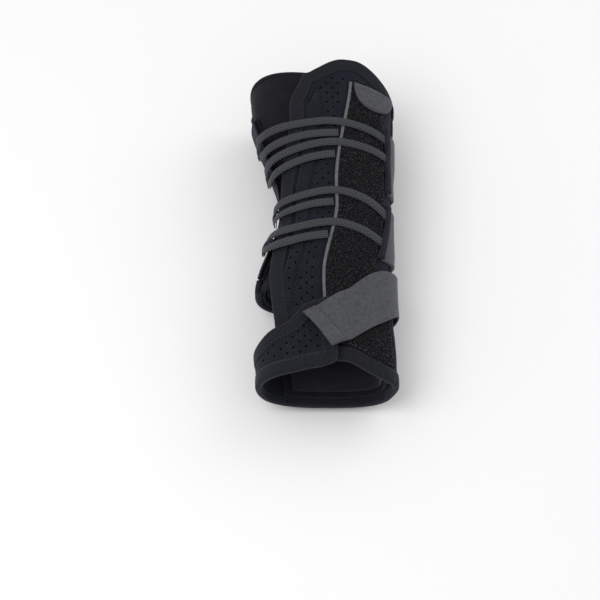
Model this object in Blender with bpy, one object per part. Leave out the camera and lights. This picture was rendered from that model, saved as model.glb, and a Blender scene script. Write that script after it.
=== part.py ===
"""Lace-up wrist splint for a left hand, in metres.

It lies on its palmar side. The forearm runs along Y, with the elbow end at +Y, the back of the hand
faces +Z, the little-finger side is +X and the thumb side is -X. Every textile layer is a patch of one
limb surface, at its own height above the foundation wrap's outer face.
"""

import math

import bmesh
import bpy
from mathutils import Vector

MM = 0.001

# Length, widths and depth of the foundation wrap's outer face.
BODY_LENGTH = 203 * MM
FOREARM_WIDTH = 71.5 * MM
WRIST_WIDTH = 56 * MM
THUMB_BASE_WIDTH = 69.4 * MM
HAND_WIDTH = 67 * MM
WRIST_DEPTH = 41 * MM
DORSAL_SLOPE = 0.09
WRIST_SHIFT = 5 * MM
THUMB_BASE_SHIFT = -2 * MM
HAND_SHIFT = 2 * MM
ROUNDNESS_SIDE = 2.6
ROUNDNESS_CHANGE = 0.5
RADIAL_FLARE = 8 * MM
RADIAL_FLARE_START = 20 * MM
RADIAL_FLARE_LENGTH = 75 * MM

# Where the width stations lie, from the two ends or from the wrist crease.
FOREARM_INSET = 11.5 * MM
HAND_INSET = 1.5 * MM
WRIST_Y = 5 * MM
THUMB_BASE_Y = -40 * MM

# Thickness of each layer, and the gap that is left between layers.
LAYER_GAP = 0.5 * MM
LINING_GAP = 0.8 * MM
WRAP_THICKNESS = 2.4 * MM
LINING_THICKNESS = 1.0 * MM
PANEL_THICKNESS = 2.4 * MM
LOOP_THICKNESS = 1.5 * MM
PILE_GAP = 0.2 * MM
BINDING_THICKNESS = 0.8 * MM
BINDING_WIDTH = 7 * MM
NARROW_BINDING_WIDTH = 2.2 * MM
ROLL_WIDTH = 2.2 * MM
RADIAL_FLAP_TOP = 73 * MM
WEBBING_THICKNESS = 1.4 * MM
TAB_THICKNESS = 1.0 * MM

# Stays. Each lies loose in its pocket, the dorsal ones with more room because the limb curves over them.
STAY_CLEARANCE = 0.6 * MM
DORSAL_STAY_CLEARANCE = 1.0 * MM
DORSAL_STAY_THICKNESS = 1.0 * MM
DORSAL_STAY_WIDTH = 10 * MM
DORSAL_STAY_LENGTH = 126 * MM
PALMAR_STAY_THICKNESS = 1.6 * MM
PALMAR_STAY_WIDTH = 30 * MM
PALMAR_STAY_LENGTH = 146 * MM
POCKET_WALL = 1.2 * MM
POCKET_MOUTH_Y = 80 * MM

# Lacing: four laces, each doubled round a guide on the thumb side.
LACE_WIDTH = 4.8 * MM
LACE_THICKNESS = 1.4 * MM
LACE_ENDS_ANGLE = 24.5
GUIDE_WIDTH = 2.8 * MM
GUIDE_WALL = 0.7 * MM

# Hand strap, one-inch webbing, and its sewn end tab.
STRAP_WIDTH = 25.4 * MM

# Angles round the limb: 0 is the little-finger side, 90 the back, 180 the thumb side, 270 the palm.
ULNAR_SEAM_ANGLE = 12.0
WRAP_START_ANGLE = 38.0
WRAP_END_ANGLE = 371.0
RADIAL_FLAP_ANGLE = 165.0
PALM_EDGE_ANGLE = -146.0
FLAP_ROOT_ANGLE = 210.0
FLAP_TIP_ANGLE = 78.0

# Heights above the wrap, for layers that lie on one another.
STAY_ROOM = DORSAL_STAY_THICKNESS + 2 * DORSAL_STAY_CLEARANCE
PANEL_BOTTOM = LAYER_GAP
PANEL_TOP = PANEL_BOTTOM + PANEL_THICKNESS
TRIM_BOTTOM = PANEL_TOP + LAYER_GAP
TRIM_TOP = TRIM_BOTTOM + BINDING_THICKNESS
LOOP_TOP = TRIM_BOTTOM + LOOP_THICKNESS
OVER_LOOP = LOOP_TOP + LAYER_GAP
OVER_FLAP = OVER_LOOP + PANEL_THICKNESS + LAYER_GAP

# The wrap's lowest line stands above the floor by the palmar stay, its pocket and the palmar panel.
STAY_STACK = POCKET_WALL + PALMAR_STAY_THICKNESS + 2 * STAY_CLEARANCE
WRAP_FLOOR = STAY_STACK + TRIM_TOP

PROXIMAL_Y = BODY_LENGTH / 2
DISTAL_Y = -BODY_LENGTH / 2
FOREARM_Y = PROXIMAL_Y - FOREARM_INSET
HAND_Y = DISTAL_Y + HAND_INSET


def ease(t):
    """Smooth step from 0 to 1."""
    t = min(max(t, 0.0), 1.0)
    return t * t * (3 - 2 * t)


def stations(points, at):
    """Value at one place along a few (place, value) stations, level at each of them."""
    points = sorted(points)
    if at <= points[0][0]:
        return points[0][1]
    for (start, first), (end, last) in zip(points, points[1:]):
        if at <= end:
            return first + (last - first) * ease((at - start) / (end - start))
    return points[-1][1]


def limb_width(y):
    """Width of the limb under the wrap."""
    elbow_side = [(FOREARM_Y, FOREARM_WIDTH), (WRIST_Y, WRIST_WIDTH)]
    hand_side = [(THUMB_BASE_Y, THUMB_BASE_WIDTH), (HAND_Y, HAND_WIDTH)]
    return stations(elbow_side + hand_side, y)


def limb_shift(y):
    """How far the middle of the limb lies to the little-finger side."""
    elbow_side = [(FOREARM_Y, 0.0), (WRIST_Y, WRIST_SHIFT)]
    hand_side = [(THUMB_BASE_Y, THUMB_BASE_SHIFT), (HAND_Y, HAND_SHIFT)]
    return stations(elbow_side + hand_side, y)


def flare(angle, y):
    """Extra reach on the thumb side, where the wrap opens out towards the elbow."""
    angle = angle % 360
    share = min(ease((angle - 105) / 50), ease((238 - angle) / 36))
    return RADIAL_FLARE * share * ease((y - RADIAL_FLARE_START) / RADIAL_FLARE_LENGTH)


def limb_point(angle, y):
    """Point on the wrap's outer face, at an angle in degrees round the limb."""
    half_width = limb_width(y) / 2
    half_depth = (WRIST_DEPTH + DORSAL_SLOPE * y) / 2
    turn = math.radians(angle)
    power = ROUNDNESS_SIDE - ROUNDNESS_CHANGE * math.sin(turn)
    across = abs(math.cos(turn) / half_width) ** power
    upward = abs(math.sin(turn) / half_depth) ** power
    radius = (across + upward) ** (-1 / power) + flare(angle, y)
    x = limb_shift(y) + radius * math.cos(turn)
    z = WRAP_FLOOR + half_depth + radius * math.sin(turn)
    return Vector((x, y, z))


def slopes(angle, y):
    """How the limb surface runs, per degree and per metre."""
    step_angle = 0.05
    step_y = 0.05 * MM
    round_limb = (limb_point(angle + step_angle, y) - limb_point(angle - step_angle, y)) / (2 * step_angle)
    along_limb = (limb_point(angle, y + step_y) - limb_point(angle, y - step_y)) / (2 * step_y)
    return round_limb, along_limb


def lifted(angle, y, height):
    """Point at a height above the wrap, along the surface's normal."""
    round_limb, along_limb = slopes(angle, y)
    normal = along_limb.cross(round_limb).normalized()
    return limb_point(angle, y) - normal * -height


def rise(angle):
    """Extra height of the outer layers where stays lie under them, on the back of the limb."""
    angle = (angle + 150) % 360 - 150
    return STAY_ROOM * min(ease((angle + 12) / 22), ease((174 - angle) / 24))


def raised(angle, y, height):
    return lifted(angle, y, height + rise(angle))


def degrees_for(length, angle, y):
    """Angle that spans a length round the limb, at one place."""
    round_limb, _ = slopes(angle, y)
    return length / round_limb.length


def as_function(value):
    return value if callable(value) else lambda _: value


def make_material(name, colour, roughness, metallic=0.0):
    material = bpy.data.materials.new(name)
    material.use_nodes = True
    shader = material.node_tree.nodes["Principled BSDF"]
    shader.inputs["Base Color"].default_value = (*colour, 1.0)
    shader.inputs["Roughness"].default_value = roughness
    shader.inputs["Metallic"].default_value = metallic
    return material


def make_object(name, mesh_data, material, parent, smooth=True):
    """Finish a bmesh as a named object with its faces pointing out."""
    bmesh.ops.recalc_face_normals(mesh_data, faces=mesh_data.faces)
    mesh = bpy.data.meshes.new(name)
    mesh_data.to_mesh(mesh)
    mesh_data.free()
    mesh.materials.append(material)
    if smooth:
        mesh.shade_smooth()
        mesh.set_sharp_from_angle(angle=math.radians(40))
    part = bpy.data.objects.new(name, mesh)
    bpy.context.scene.collection.objects.link(part)
    part.parent = parent
    return part


def close_grid(mesh_data, rows_low, rows_high):
    """Skin a lower and an upper grid of points, and wall the four edges between them."""
    low = [[mesh_data.verts.new(point) for point in row] for row in rows_low]
    high = [[mesh_data.verts.new(point) for point in row] for row in rows_high]
    rows = len(low)
    columns = len(low[0])
    for i in range(rows - 1):
        for j in range(columns - 1):
            mesh_data.faces.new((low[i][j], low[i][j + 1], low[i + 1][j + 1], low[i + 1][j]))
            mesh_data.faces.new((high[i][j], high[i + 1][j], high[i + 1][j + 1], high[i][j + 1]))
    for i in range(rows - 1):
        for j in (0, columns - 1):
            mesh_data.faces.new((low[i][j], low[i + 1][j], high[i + 1][j], high[i][j]))
    for j in range(columns - 1):
        for i in (0, rows - 1):
            mesh_data.faces.new((low[i][j], high[i][j], high[i][j + 1], low[i][j + 1]))


def patch(name, material, parent, angles, ys, bottom, thickness, cells, place=raised):
    """Layer of cloth over part of the limb.

    angles is the pair of side edges, each an angle or a function of y. ys is the pair of ends, each a y
    or a function of the angle. bottom is a height, or a function of the angle.
    """
    side_a, side_b = (as_function(side) for side in angles)
    end_a, end_b = (as_function(end) for end in ys)
    floor = as_function(bottom)
    columns, rows = cells

    def angle_at(share, y):
        return side_a(y) + (side_b(y) - side_a(y)) * share

    def end_at(share, end):
        y = end((side_a(0) + side_b(0)) / 2)
        for _ in range(8):
            y = end(angle_at(share, y))
        return y

    starts = [end_at(j / columns, end_a) for j in range(columns + 1)]
    finishes = [end_at(j / columns, end_b) for j in range(columns + 1)]
    low = []
    high = []
    for i in range(rows + 1):
        low_row = []
        high_row = []
        for j in range(columns + 1):
            y = starts[j] + (finishes[j] - starts[j]) * i / rows
            angle = angle_at(j / columns, y)
            height = floor(angle)
            low_row.append(place(angle, y, height))
            high_row.append(place(angle, y, height + thickness))
        low.append(low_row)
        high.append(high_row)
    mesh_data = bmesh.new()
    close_grid(mesh_data, low, high)
    return make_object(name, mesh_data, material, parent)


def smooth_route(points, steps):
    """Even points on a Catmull-Rom curve through (angle, y) points."""
    padded = [points[0], *points, points[-1]]
    route = []
    spans = len(points) - 1
    for k in range(steps + 1):
        at = min(k * spans / steps, spans - 1e-9)
        span = int(at)
        t = at - span
        a, b, c, d = padded[span : span + 4]
        route.append(
            tuple(
                0.5 * (2 * b[n] + (c[n] - a[n]) * t + (2 * a[n] - 5 * b[n] + 4 * c[n] - d[n]) * t ** 2
                       + (3 * b[n] - a[n] - 3 * c[n] + d[n]) * t ** 3)
                for n in range(2)
            )
        )
    return route


def step_sideways(angle, y, heading, distance):
    """Angle and y of the place beside a route, at a distance square to its heading."""
    round_limb, along_limb = slopes(angle, y)
    normal = along_limb.cross(round_limb).normalized()
    side = normal.cross(heading).normalized() * distance
    rr = round_limb.dot(round_limb)
    ra = round_limb.dot(along_limb)
    aa = along_limb.dot(along_limb)
    sr = side.dot(round_limb)
    sa = side.dot(along_limb)
    determinant = rr * aa - ra * ra
    return angle + (sr * aa - sa * ra) / determinant, y + (sa * rr - sr * ra) / determinant


def ribbon(name, material, parent, route, width, bottom, thickness, columns):
    """Flat strap that follows a route of (angle, y) points over the layers."""
    floor = as_function(bottom)
    low = []
    high = []
    for k, (angle, y) in enumerate(route):
        before = limb_point(*route[max(k - 1, 0)])
        after = limb_point(*route[min(k + 1, len(route) - 1)])
        heading = after - before
        low_row = []
        high_row = []
        for j in range(columns + 1):
            side_angle, side_y = step_sideways(angle, y, heading, width * (j / columns - 0.5))
            height = floor(side_angle)
            low_row.append(raised(side_angle, side_y, height))
            high_row.append(raised(side_angle, side_y, height + thickness))
        low.append(low_row)
        high.append(high_row)
    mesh_data = bmesh.new()
    close_grid(mesh_data, low, high)
    return make_object(name, mesh_data, material, parent)


def pin_at(name, parent, point):
    """Empty on a joint's axis, that carries the pieces which turn or slide there."""
    pin = bpy.data.objects.new(name, None)
    pin.empty_display_size = 5 * MM
    pin.location = point
    pin.parent = parent
    bpy.context.scene.collection.objects.link(pin)
    return pin


def hang_from(part, pin):
    """Keep a piece's shape in place, with its parent on the joint's axis."""
    part.data.transform(part.matrix_basis)
    part.parent = pin
    for vertex in part.data.vertices:
        vertex.co -= pin.location


# Outlines of the panels on the limb.


def dorsal_edge(y):
    """Thumb-side edge of the dorsal panel."""
    elbow_side = [(PROXIMAL_Y - 9 * MM, 117), (70 * MM, 130), (WRIST_Y, 157)]
    hand_side = [(-32 * MM, 152), (DISTAL_Y + 12 * MM, 152)]
    return stations(elbow_side + hand_side, y)


def dorsal_proximal(angle):
    """Arched elbow-side edge of the dorsal panel."""
    return PROXIMAL_Y - stations([(-12, 25 * MM), (56, 0.0), (66, 0.0), (120, 10 * MM)], angle)


def dorsal_distal(angle):
    """Finger-side edge of the dorsal panel, longest on the little-finger side."""
    return DISTAL_Y + stations([(12, 0), (60, 9 * MM), (150, 14 * MM)], angle)


def loop_seam(y):
    """Sewn thumb-side edge of the loop-pile panel."""
    return stations([(PROXIMAL_Y - 12 * MM, 56), (15 * MM, 83), (DISTAL_Y, 86)], y)


def loop_ulnar(y):
    """Little-finger-side edge of the loop-pile panel, wider at the hand."""
    return stations([(-52 * MM, 14.5), (-34 * MM, 27)], y)


def loop_proximal(angle):
    return dorsal_proximal(angle) - 12 * MM


def loop_distal(angle):
    return dorsal_distal(angle) + BINDING_WIDTH + LAYER_GAP


def flap_near(angle):
    """Wrist-side edge of the thumb flap."""
    over_the_back = [(75, -57 * MM), (112, -61 * MM), (150, -74 * MM)]
    through_the_web = [(172, -81 * MM), (205, -84 * MM)]
    return stations(over_the_back + through_the_web, angle)


def flap_far(angle):
    """Finger-side edge of the thumb flap."""
    return DISTAL_Y + stations([(78, 6 * MM), (112, 3 * MM), (160, 0), (205, 0)], angle)


def flap_bed(angle):
    """Height of the thumb flap, which runs down to the palmar panel's edge at its root."""
    return PANEL_BOTTOM + (OVER_LOOP - PANEL_BOTTOM) * ease((FLAP_ROOT_ANGLE - angle) / 42)


def strap_bed(angle):
    """Height of the hand strap, which climbs on to the thumb flap's tip."""
    climb = ease((angle - 48) / 24)
    return OVER_LOOP + (OVER_FLAP + BINDING_THICKNESS + LAYER_GAP - OVER_LOOP) * climb


def add_wraps(root, cloth, lining):
    """Foundation wrap in a forearm and a hand part, each with its lining, and the pad under the back."""
    below = -WRAP_THICKNESS
    deep = below - LINING_GAP - LINING_THICKNESS
    wrap_top = PROXIMAL_Y - 6.5 * MM
    forearm_end = THUMB_BASE_Y - 1 * MM
    around = (WRAP_START_ANGLE, WRAP_END_ANGLE)
    palm = (FLAP_ROOT_ANGLE + 4, WRAP_END_ANGLE)
    back = (ULNAR_SEAM_ANGLE + 4, 148)
    inset = 3 * MM
    patch(
        "forearm_wrap", cloth, root, around, (forearm_end, wrap_top), below, WRAP_THICKNESS, (46, 9), lifted,
    )
    patch(
        "forearm_lining", lining, root, around, (forearm_end + inset, wrap_top - inset), deep,
        LINING_THICKNESS, (46, 9), lifted,
    )
    hand_end = forearm_end - LAYER_GAP
    patch(
        "hand_wrap", cloth, root, palm, (DISTAL_Y + inset, hand_end), below, WRAP_THICKNESS, (18, 4), lifted,
    )
    patch(
        "hand_lining", lining, root, palm, (DISTAL_Y + 2 * inset, hand_end - inset), deep, LINING_THICKNESS,
        (18, 4), lifted,
    )
    patch(
        "dorsal_hand_pad", cloth, root, back, (lambda a: dorsal_distal(a) + inset, hand_end), below,
        WRAP_THICKNESS, (16, 4), lifted,
    )
    around_thumb_side = (WRAP_START_ANGLE + 24, FLAP_ROOT_ANGLE - 8)
    swell = 0.3 * MM
    patch(
        "wrap_edge_roll", cloth, root, around_thumb_side, (wrap_top + LAYER_GAP, wrap_top + ROLL_WIDTH),
        below - swell, WRAP_THICKNESS + 2 * swell, (18, 1), lifted,
    )


def add_dorsal_panel(root, laminate, loop, tape, binding):
    """Perforated back panel, its loop-pile facing with an edge tape, and the bindings sewn on its edges."""
    patch(
        "dorsal_panel", laminate, root, (ULNAR_SEAM_ANGLE, dorsal_edge), (dorsal_distal, dorsal_proximal),
        PANEL_BOTTOM, PANEL_THICKNESS, (22, 16),
    )
    tape_angle = 4.0
    tape_gap = 0.9
    patch(
        "loop_panel", loop, root, (loop_ulnar, loop_seam), (loop_distal, loop_proximal),
        TRIM_BOTTOM + PILE_GAP, LOOP_THICKNESS - PILE_GAP, (12, 16),
    )
    patch(
        "loop_panel_edge", tape, root,
        (lambda y: loop_seam(y) + tape_gap, lambda y: loop_seam(y) + tape_gap + tape_angle),
        (lambda a: loop_distal(a) + LAYER_GAP, loop_proximal), TRIM_BOTTOM, LOOP_THICKNESS, (1, 14),
    )
    patch(
        "proximal_binding", binding, root, (ULNAR_SEAM_ANGLE, dorsal_edge),
        (lambda a: dorsal_proximal(a) - BINDING_WIDTH, dorsal_proximal), TRIM_BOTTOM,
        BINDING_THICKNESS, (14, 1),
    )
    patch(
        "radial_binding", binding, root,
        (lambda y: dorsal_edge(y) - degrees_for(BINDING_WIDTH, dorsal_edge(y), y), dorsal_edge),
        (-56 * MM, PROXIMAL_Y - 18 * MM), TRIM_BOTTOM, BINDING_THICKNESS, (3, 16),
    )
    patch(
        "distal_binding", binding, root, (ULNAR_SEAM_ANGLE, 146),
        (dorsal_distal, lambda a: dorsal_distal(a) + BINDING_WIDTH), TRIM_BOTTOM,
        BINDING_THICKNESS, (15, 1),
    )


def add_palmar_side(root, laminate, binding, loop):
    """Palmar panel, thumb-side lacing flap and their bindings, and the loop patch for the lace straps."""
    seam_gap = 0.8
    palm_end = ULNAR_SEAM_ANGLE - seam_gap
    palm_top = PROXIMAL_Y - 12 * MM

    def proximal(angle):
        return palm_top - stations([(-20, 0), (ULNAR_SEAM_ANGLE, 6 * MM)], angle)

    patch(
        "palmar_panel", laminate, root, (PALM_EDGE_ANGLE, palm_end), (DISTAL_Y, proximal), PANEL_BOTTOM,
        PANEL_THICKNESS, (18, 12),
    )
    patch(
        "palmar_distal_binding", binding, root, (PALM_EDGE_ANGLE, palm_end),
        (DISTAL_Y, DISTAL_Y + BINDING_WIDTH), TRIM_BOTTOM, BINDING_THICKNESS, (18, 1),
    )
    patch(
        "palmar_proximal_binding", binding, root, (PALM_EDGE_ANGLE, palm_end),
        (lambda a: proximal(a) - BINDING_WIDTH, proximal), TRIM_BOTTOM, BINDING_THICKNESS, (18, 1),
    )
    flap_root = 360 + PALM_EDGE_ANGLE - seam_gap
    flap_end = THUMB_BASE_Y - 1 * MM

    def flap_edge(y):
        corner = (flap_end, RADIAL_FLAP_ANGLE + 7)
        straight = [(-20 * MM, RADIAL_FLAP_ANGLE), (RADIAL_FLAP_TOP, RADIAL_FLAP_ANGLE + 2)]
        return stations([corner] + straight, y)

    patch(
        "radial_flap", laminate, root, (flap_edge, flap_root), (flap_end, RADIAL_FLAP_TOP), PANEL_BOTTOM,
        PANEL_THICKNESS, (12, 10),
    )
    patch(
        "radial_flap_binding", binding, root,
        (flap_edge, lambda y: flap_edge(y) + degrees_for(NARROW_BINDING_WIDTH, flap_edge(y), y)),
        (flap_end + BINDING_WIDTH + LAYER_GAP, RADIAL_FLAP_TOP), TRIM_BOTTOM, BINDING_THICKNESS, (1, 10),
    )
    patch(
        "thumb_opening_binding", binding, root, (flap_edge, flap_root), (flap_end, flap_end + BINDING_WIDTH),
        TRIM_BOTTOM, BINDING_THICKNESS, (12, 1),
    )
    patch(
        "palmar_loop_patch", loop, root, (-44, -16), (-24 * MM, 56 * MM), TRIM_BOTTOM, LOOP_THICKNESS, (4, 6),
    )


def outline_bar(name, width, length, thickness, corner, material, parent):
    """Flat bar with rounded corners, lying along Y with its lower face at z = 0."""
    mesh_data = bmesh.new()
    corners = []
    for x_side, y_side, start in ((1, 1, 0), (-1, 1, 90), (-1, -1, 180), (1, -1, 270)):
        for k in range(5):
            turn = math.radians(start + 22.5 * k)
            x = x_side * (width / 2 - corner) + corner * math.cos(turn)
            y = y_side * (length / 2 - corner) + corner * math.sin(turn)
            corners.append(mesh_data.verts.new((x, y, 0)))
    base = mesh_data.faces.new(corners)
    top = bmesh.ops.extrude_face_region(mesh_data, geom=[base])
    moved = [item for item in top["geom"] if isinstance(item, bmesh.types.BMVert)]
    bmesh.ops.translate(mesh_data, verts=moved, vec=(0, 0, thickness))
    return make_object(name, mesh_data, material, parent, smooth=False)


def add_palmar_stay(root, metal, pocket_cloth):
    """Palmar stay, flat in a pocket under the palm that opens towards the elbow."""
    middle = limb_shift(0)
    pocket_length = PALMAR_STAY_LENGTH + STAY_CLEARANCE + POCKET_WALL
    pocket_middle = POCKET_MOUTH_Y - pocket_length / 2
    stay_middle = POCKET_MOUTH_Y - PALMAR_STAY_LENGTH / 2
    pin = pin_at("palmar_stay_slide", root, Vector((middle, stay_middle, POCKET_WALL + STAY_CLEARANCE)))
    corner = 8 * MM
    outline_bar(
        "palmar_stay", PALMAR_STAY_WIDTH, PALMAR_STAY_LENGTH, PALMAR_STAY_THICKNESS, corner, metal, pin,
    )
    inner = PALMAR_STAY_WIDTH / 2 + STAY_CLEARANCE
    outer = inner + POCKET_WALL
    mesh_data = bmesh.new()
    floor_height = WRAP_FLOOR - PANEL_TOP - LAYER_GAP
    far_end = pocket_middle - pocket_length / 2
    wall_end = far_end + POCKET_WALL
    u_outline = [(-outer, far_end), (outer, far_end), (outer, POCKET_MOUTH_Y), (inner, POCKET_MOUTH_Y)]
    u_outline += [(inner, wall_end), (-inner, wall_end), (-inner, POCKET_MOUTH_Y), (-outer, POCKET_MOUTH_Y)]
    ground = [mesh_data.verts.new((middle + x, y, 0)) for x, y in u_outline]
    level = [mesh_data.verts.new((middle + x, y, POCKET_WALL)) for x, y in u_outline]
    crest = [mesh_data.verts.new((middle + x, y, floor_height)) for x, y in u_outline]
    mesh_data.faces.new([ground[0], ground[1], ground[2], ground[3], ground[6], ground[7]])
    mesh_data.faces.new([level[3], level[4], level[5], level[6]])
    mesh_data.faces.new(crest)
    mesh_data.faces.new([ground[3], ground[6], level[6], level[3]])
    for a, b in ((0, 1), (1, 2), (2, 3), (6, 7), (7, 0)):
        mesh_data.faces.new([ground[a], ground[b], level[b], level[a]])
    for a in range(8):
        b = (a + 1) % 8
        mesh_data.faces.new([level[a], level[b], crest[b], crest[a]])
    make_object("palmar_stay_pocket", mesh_data, pocket_cloth, root, smooth=False)


def add_dorsal_stay(name, root, plastic, angle_far, angle_near):
    """Straight stay between the wrap and the dorsal panel, which slides out at the elbow end."""
    far_y = -50 * MM
    near_y = far_y + DORSAL_STAY_LENGTH
    height = DORSAL_STAY_CLEARANCE
    start = lifted(angle_far, far_y, height)
    end = lifted(angle_near, near_y, height)
    along = (end - start).normalized()
    middle = (start + end) / 2
    round_limb, _ = slopes((angle_far + angle_near) / 2, (far_y + near_y) / 2)
    across = -(round_limb - along * round_limb.dot(along)).normalized()
    up = across.cross(along)
    pin = pin_at(name + "_slide", root, middle)
    corner = 4 * MM
    bar = outline_bar(
        name, DORSAL_STAY_WIDTH, DORSAL_STAY_LENGTH, DORSAL_STAY_THICKNESS, corner, plastic, pin,
    )
    for vertex in bar.data.vertices:
        x, y, z = vertex.co
        vertex.co = across * x + along * y + up * z
    return bar


# Each lace: the y of the sewn run at the seam and at the guide, then of the return run at the guide, at
# the seam and at the little-finger side, and the angle of the turn.
LACES = (
    (50.5, 47, 55.6, 58.5, 52, 163),
    (36.5, 30, 38.6, 44.5, 40, 167),
    (5, 0, 8.6, 12.5, 1, 163),
    (-16, -22.6, -14, -8, -17, 161),
)


def lace_bed(angle):
    """Height of the laces, which climb over the guides' lower leaves on the thumb side."""
    return OVER_LOOP + 0.5 * MM * ease((angle - 128) / 24)


def lace_route(sewn_seam, sewn_turn, back_turn, back_seam, back_end, turn_angle):
    """Hairpin from the loop panel's seam to the guide and back over it to the little-finger side."""
    seam = loop_seam(sewn_seam * MM) + 7
    bend = 2.6
    points = [(seam, sewn_seam), (seam + (turn_angle - seam) * 0.5, (sewn_seam + sewn_turn) / 2 + 1.2)]
    points += [(turn_angle - 3 * bend, sewn_turn + 0.2), (turn_angle - bend, sewn_turn)]
    points += [(turn_angle, sewn_turn + 2.2), (turn_angle, back_turn - 2.2), (turn_angle - bend, back_turn)]
    points += [(turn_angle - 3 * bend, back_turn + 0.4), (125, (back_turn + 2 * back_seam) / 3)]
    points += [(85, back_seam), (50, (back_seam * 2 + back_end) / 3), (LACE_ENDS_ANGLE, back_end)]
    return smooth_route([(angle, y * MM) for angle, y in points], 60)


def add_lacing(root, braid, webbing):
    """Four doubled laces and the webbing guides that hold their turns on the radial flap."""
    for number, lace in enumerate(LACES, start=1):
        route = lace_route(*lace)
        ribbon(f"lace_{number}", braid, root, route, LACE_WIDTH, lace_bed, LACE_THICKNESS, 1)
        turn_y = (lace[1] + lace[2]) / 2 * MM
        add_guide(f"lace_guide_{number}", root, webbing, lace[5], turn_y)


def add_guide(name, root, webbing, turn_angle, y):
    """Folded webbing loop: its two leaves pass over and under the lace and are sewn to the flap."""
    arc = degrees_for(1.0, turn_angle, y)
    half_lace = (LACE_WIDTH / 2 + 2 * LAYER_GAP) * arc
    wall = GUIDE_WALL * arc
    sewn = 7 * MM * arc
    bed = lace_bed(turn_angle)
    under = bed - LAYER_GAP
    over = bed + LACE_THICKNESS + LAYER_GAP
    nose = turn_angle - half_lace - wall
    tail = turn_angle + sewn
    halfway = turn_angle + sewn / 2
    floor = under - GUIDE_WALL
    roof = over + GUIDE_WALL
    outline = [(nose, floor), (turn_angle, floor), (halfway, floor), (tail, floor)]
    outline += [(tail, under), (halfway, under), (turn_angle, under), (nose + wall, under)]
    outline += [(nose + wall, over), (turn_angle, over), (halfway, over)]
    outline += [(tail, under + LAYER_GAP), (tail, under + LAYER_GAP + GUIDE_WALL)]
    outline += [(halfway, roof), (turn_angle, roof), (nose, roof)]
    mesh_data = bmesh.new()
    ends = []
    for side in (-1, 1):
        ring = [mesh_data.verts.new(raised(a, y + side * GUIDE_WIDTH / 2, h)) for a, h in outline]
        mesh_data.faces.new(ring)
        ends.append(ring)
    for k in range(len(outline)):
        n = (k + 1) % len(outline)
        mesh_data.faces.new((ends[0][k], ends[0][n], ends[1][n], ends[1][k]))
    make_object(name, mesh_data, webbing, root)


def add_lace_strap(name, root, webbing, y_range, palm_range):
    """Lace strap that the lace ends are sewn to. It wraps to the palm and peels off from there."""
    dorsal_angle = 22.5
    palm_angle = -42

    def blend(angle, pair):
        t = ease((angle - palm_angle) / (dorsal_angle - palm_angle))
        return pair[0] + (pair[1] - pair[0]) * t

    def height(angle):
        return OVER_LOOP - (OVER_LOOP - TRIM_BOTTOM) * ease((angle + 14) / 16)

    def low(angle):
        return blend(angle, (palm_range[0], y_range[0])) * MM

    def high(angle):
        return blend(angle, (palm_range[1], y_range[1])) * MM

    strap = patch(
        name, webbing, root, (palm_angle, dorsal_angle), (low, high), height, WEBBING_THICKNESS, (10, 3)
    )
    middle = sum(y_range) / 2 * MM
    pin = pin_at(name + "_hinge", root, raised(dorsal_angle, middle, OVER_LOOP))
    hang_from(strap, pin)


def add_stay_tab(root, webbing):
    """D-shaped tab over the loop panel, sewn along its flat elbow-side edge."""
    first = 20.0
    last = 55.0
    depth = 12 * MM
    shoulder = 3 * MM

    def flat_edge(angle):
        return (82 + 4 * (angle - first) / (last - first)) * MM

    def round_edge(angle):
        across = min(max((2 * angle - first - last) / (last - first), -1), 1)
        return flat_edge(angle) - shoulder - depth * math.sqrt(1 - across * across)

    tab = patch(
        "stay_pocket_tab", webbing, root, (first, last), (round_edge, flat_edge), OVER_LOOP,
        TAB_THICKNESS, (12, 3),
    )
    middle = (first + last) / 2
    pin = pin_at("stay_pocket_tab_hinge", root, raised(middle, flat_edge(middle), OVER_LOOP + TAB_THICKNESS))
    hang_from(tab, pin)


def add_hand_strap(root, webbing):
    """Hand strap: a sewn length on the palm, then the length that opens, with its end tab."""
    hinge_angle = 8.0
    tab_angle = 82.0
    palm = [(-31, -49 * MM), (-14, -48 * MM), (12, -46 * MM)]
    back = [(40, -61 * MM), (76, -72.5 * MM), (104, -78 * MM)]
    route = smooth_route(palm + back, 60)
    anchor = [point for point in route if point[0] < hinge_angle - 10]
    reach = [point for point in route if point[0] > hinge_angle]
    tab_start = next(k for k in range(len(reach)) if reach[k][0] > tab_angle)
    sewn = anchor[::2] + anchor[-1:]
    ribbon("hand_strap_anchor", webbing, root, sewn, STRAP_WIDTH, TRIM_BOTTOM, WEBBING_THICKNESS, 4)
    strap = ribbon(
        "hand_strap", webbing, root, reach[:tab_start], STRAP_WIDTH, strap_bed, WEBBING_THICKNESS, 4
    )
    tab = ribbon(
        "hand_strap_tab", webbing, root, reach[tab_start + 1:], STRAP_WIDTH, strap_bed, WEBBING_THICKNESS, 4
    )
    angle, y = reach[0]
    pin = pin_at("hand_strap_hinge", root, raised(angle, y, OVER_LOOP + WEBBING_THICKNESS))
    hang_from(strap, pin)
    hang_from(tab, pin)


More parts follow.
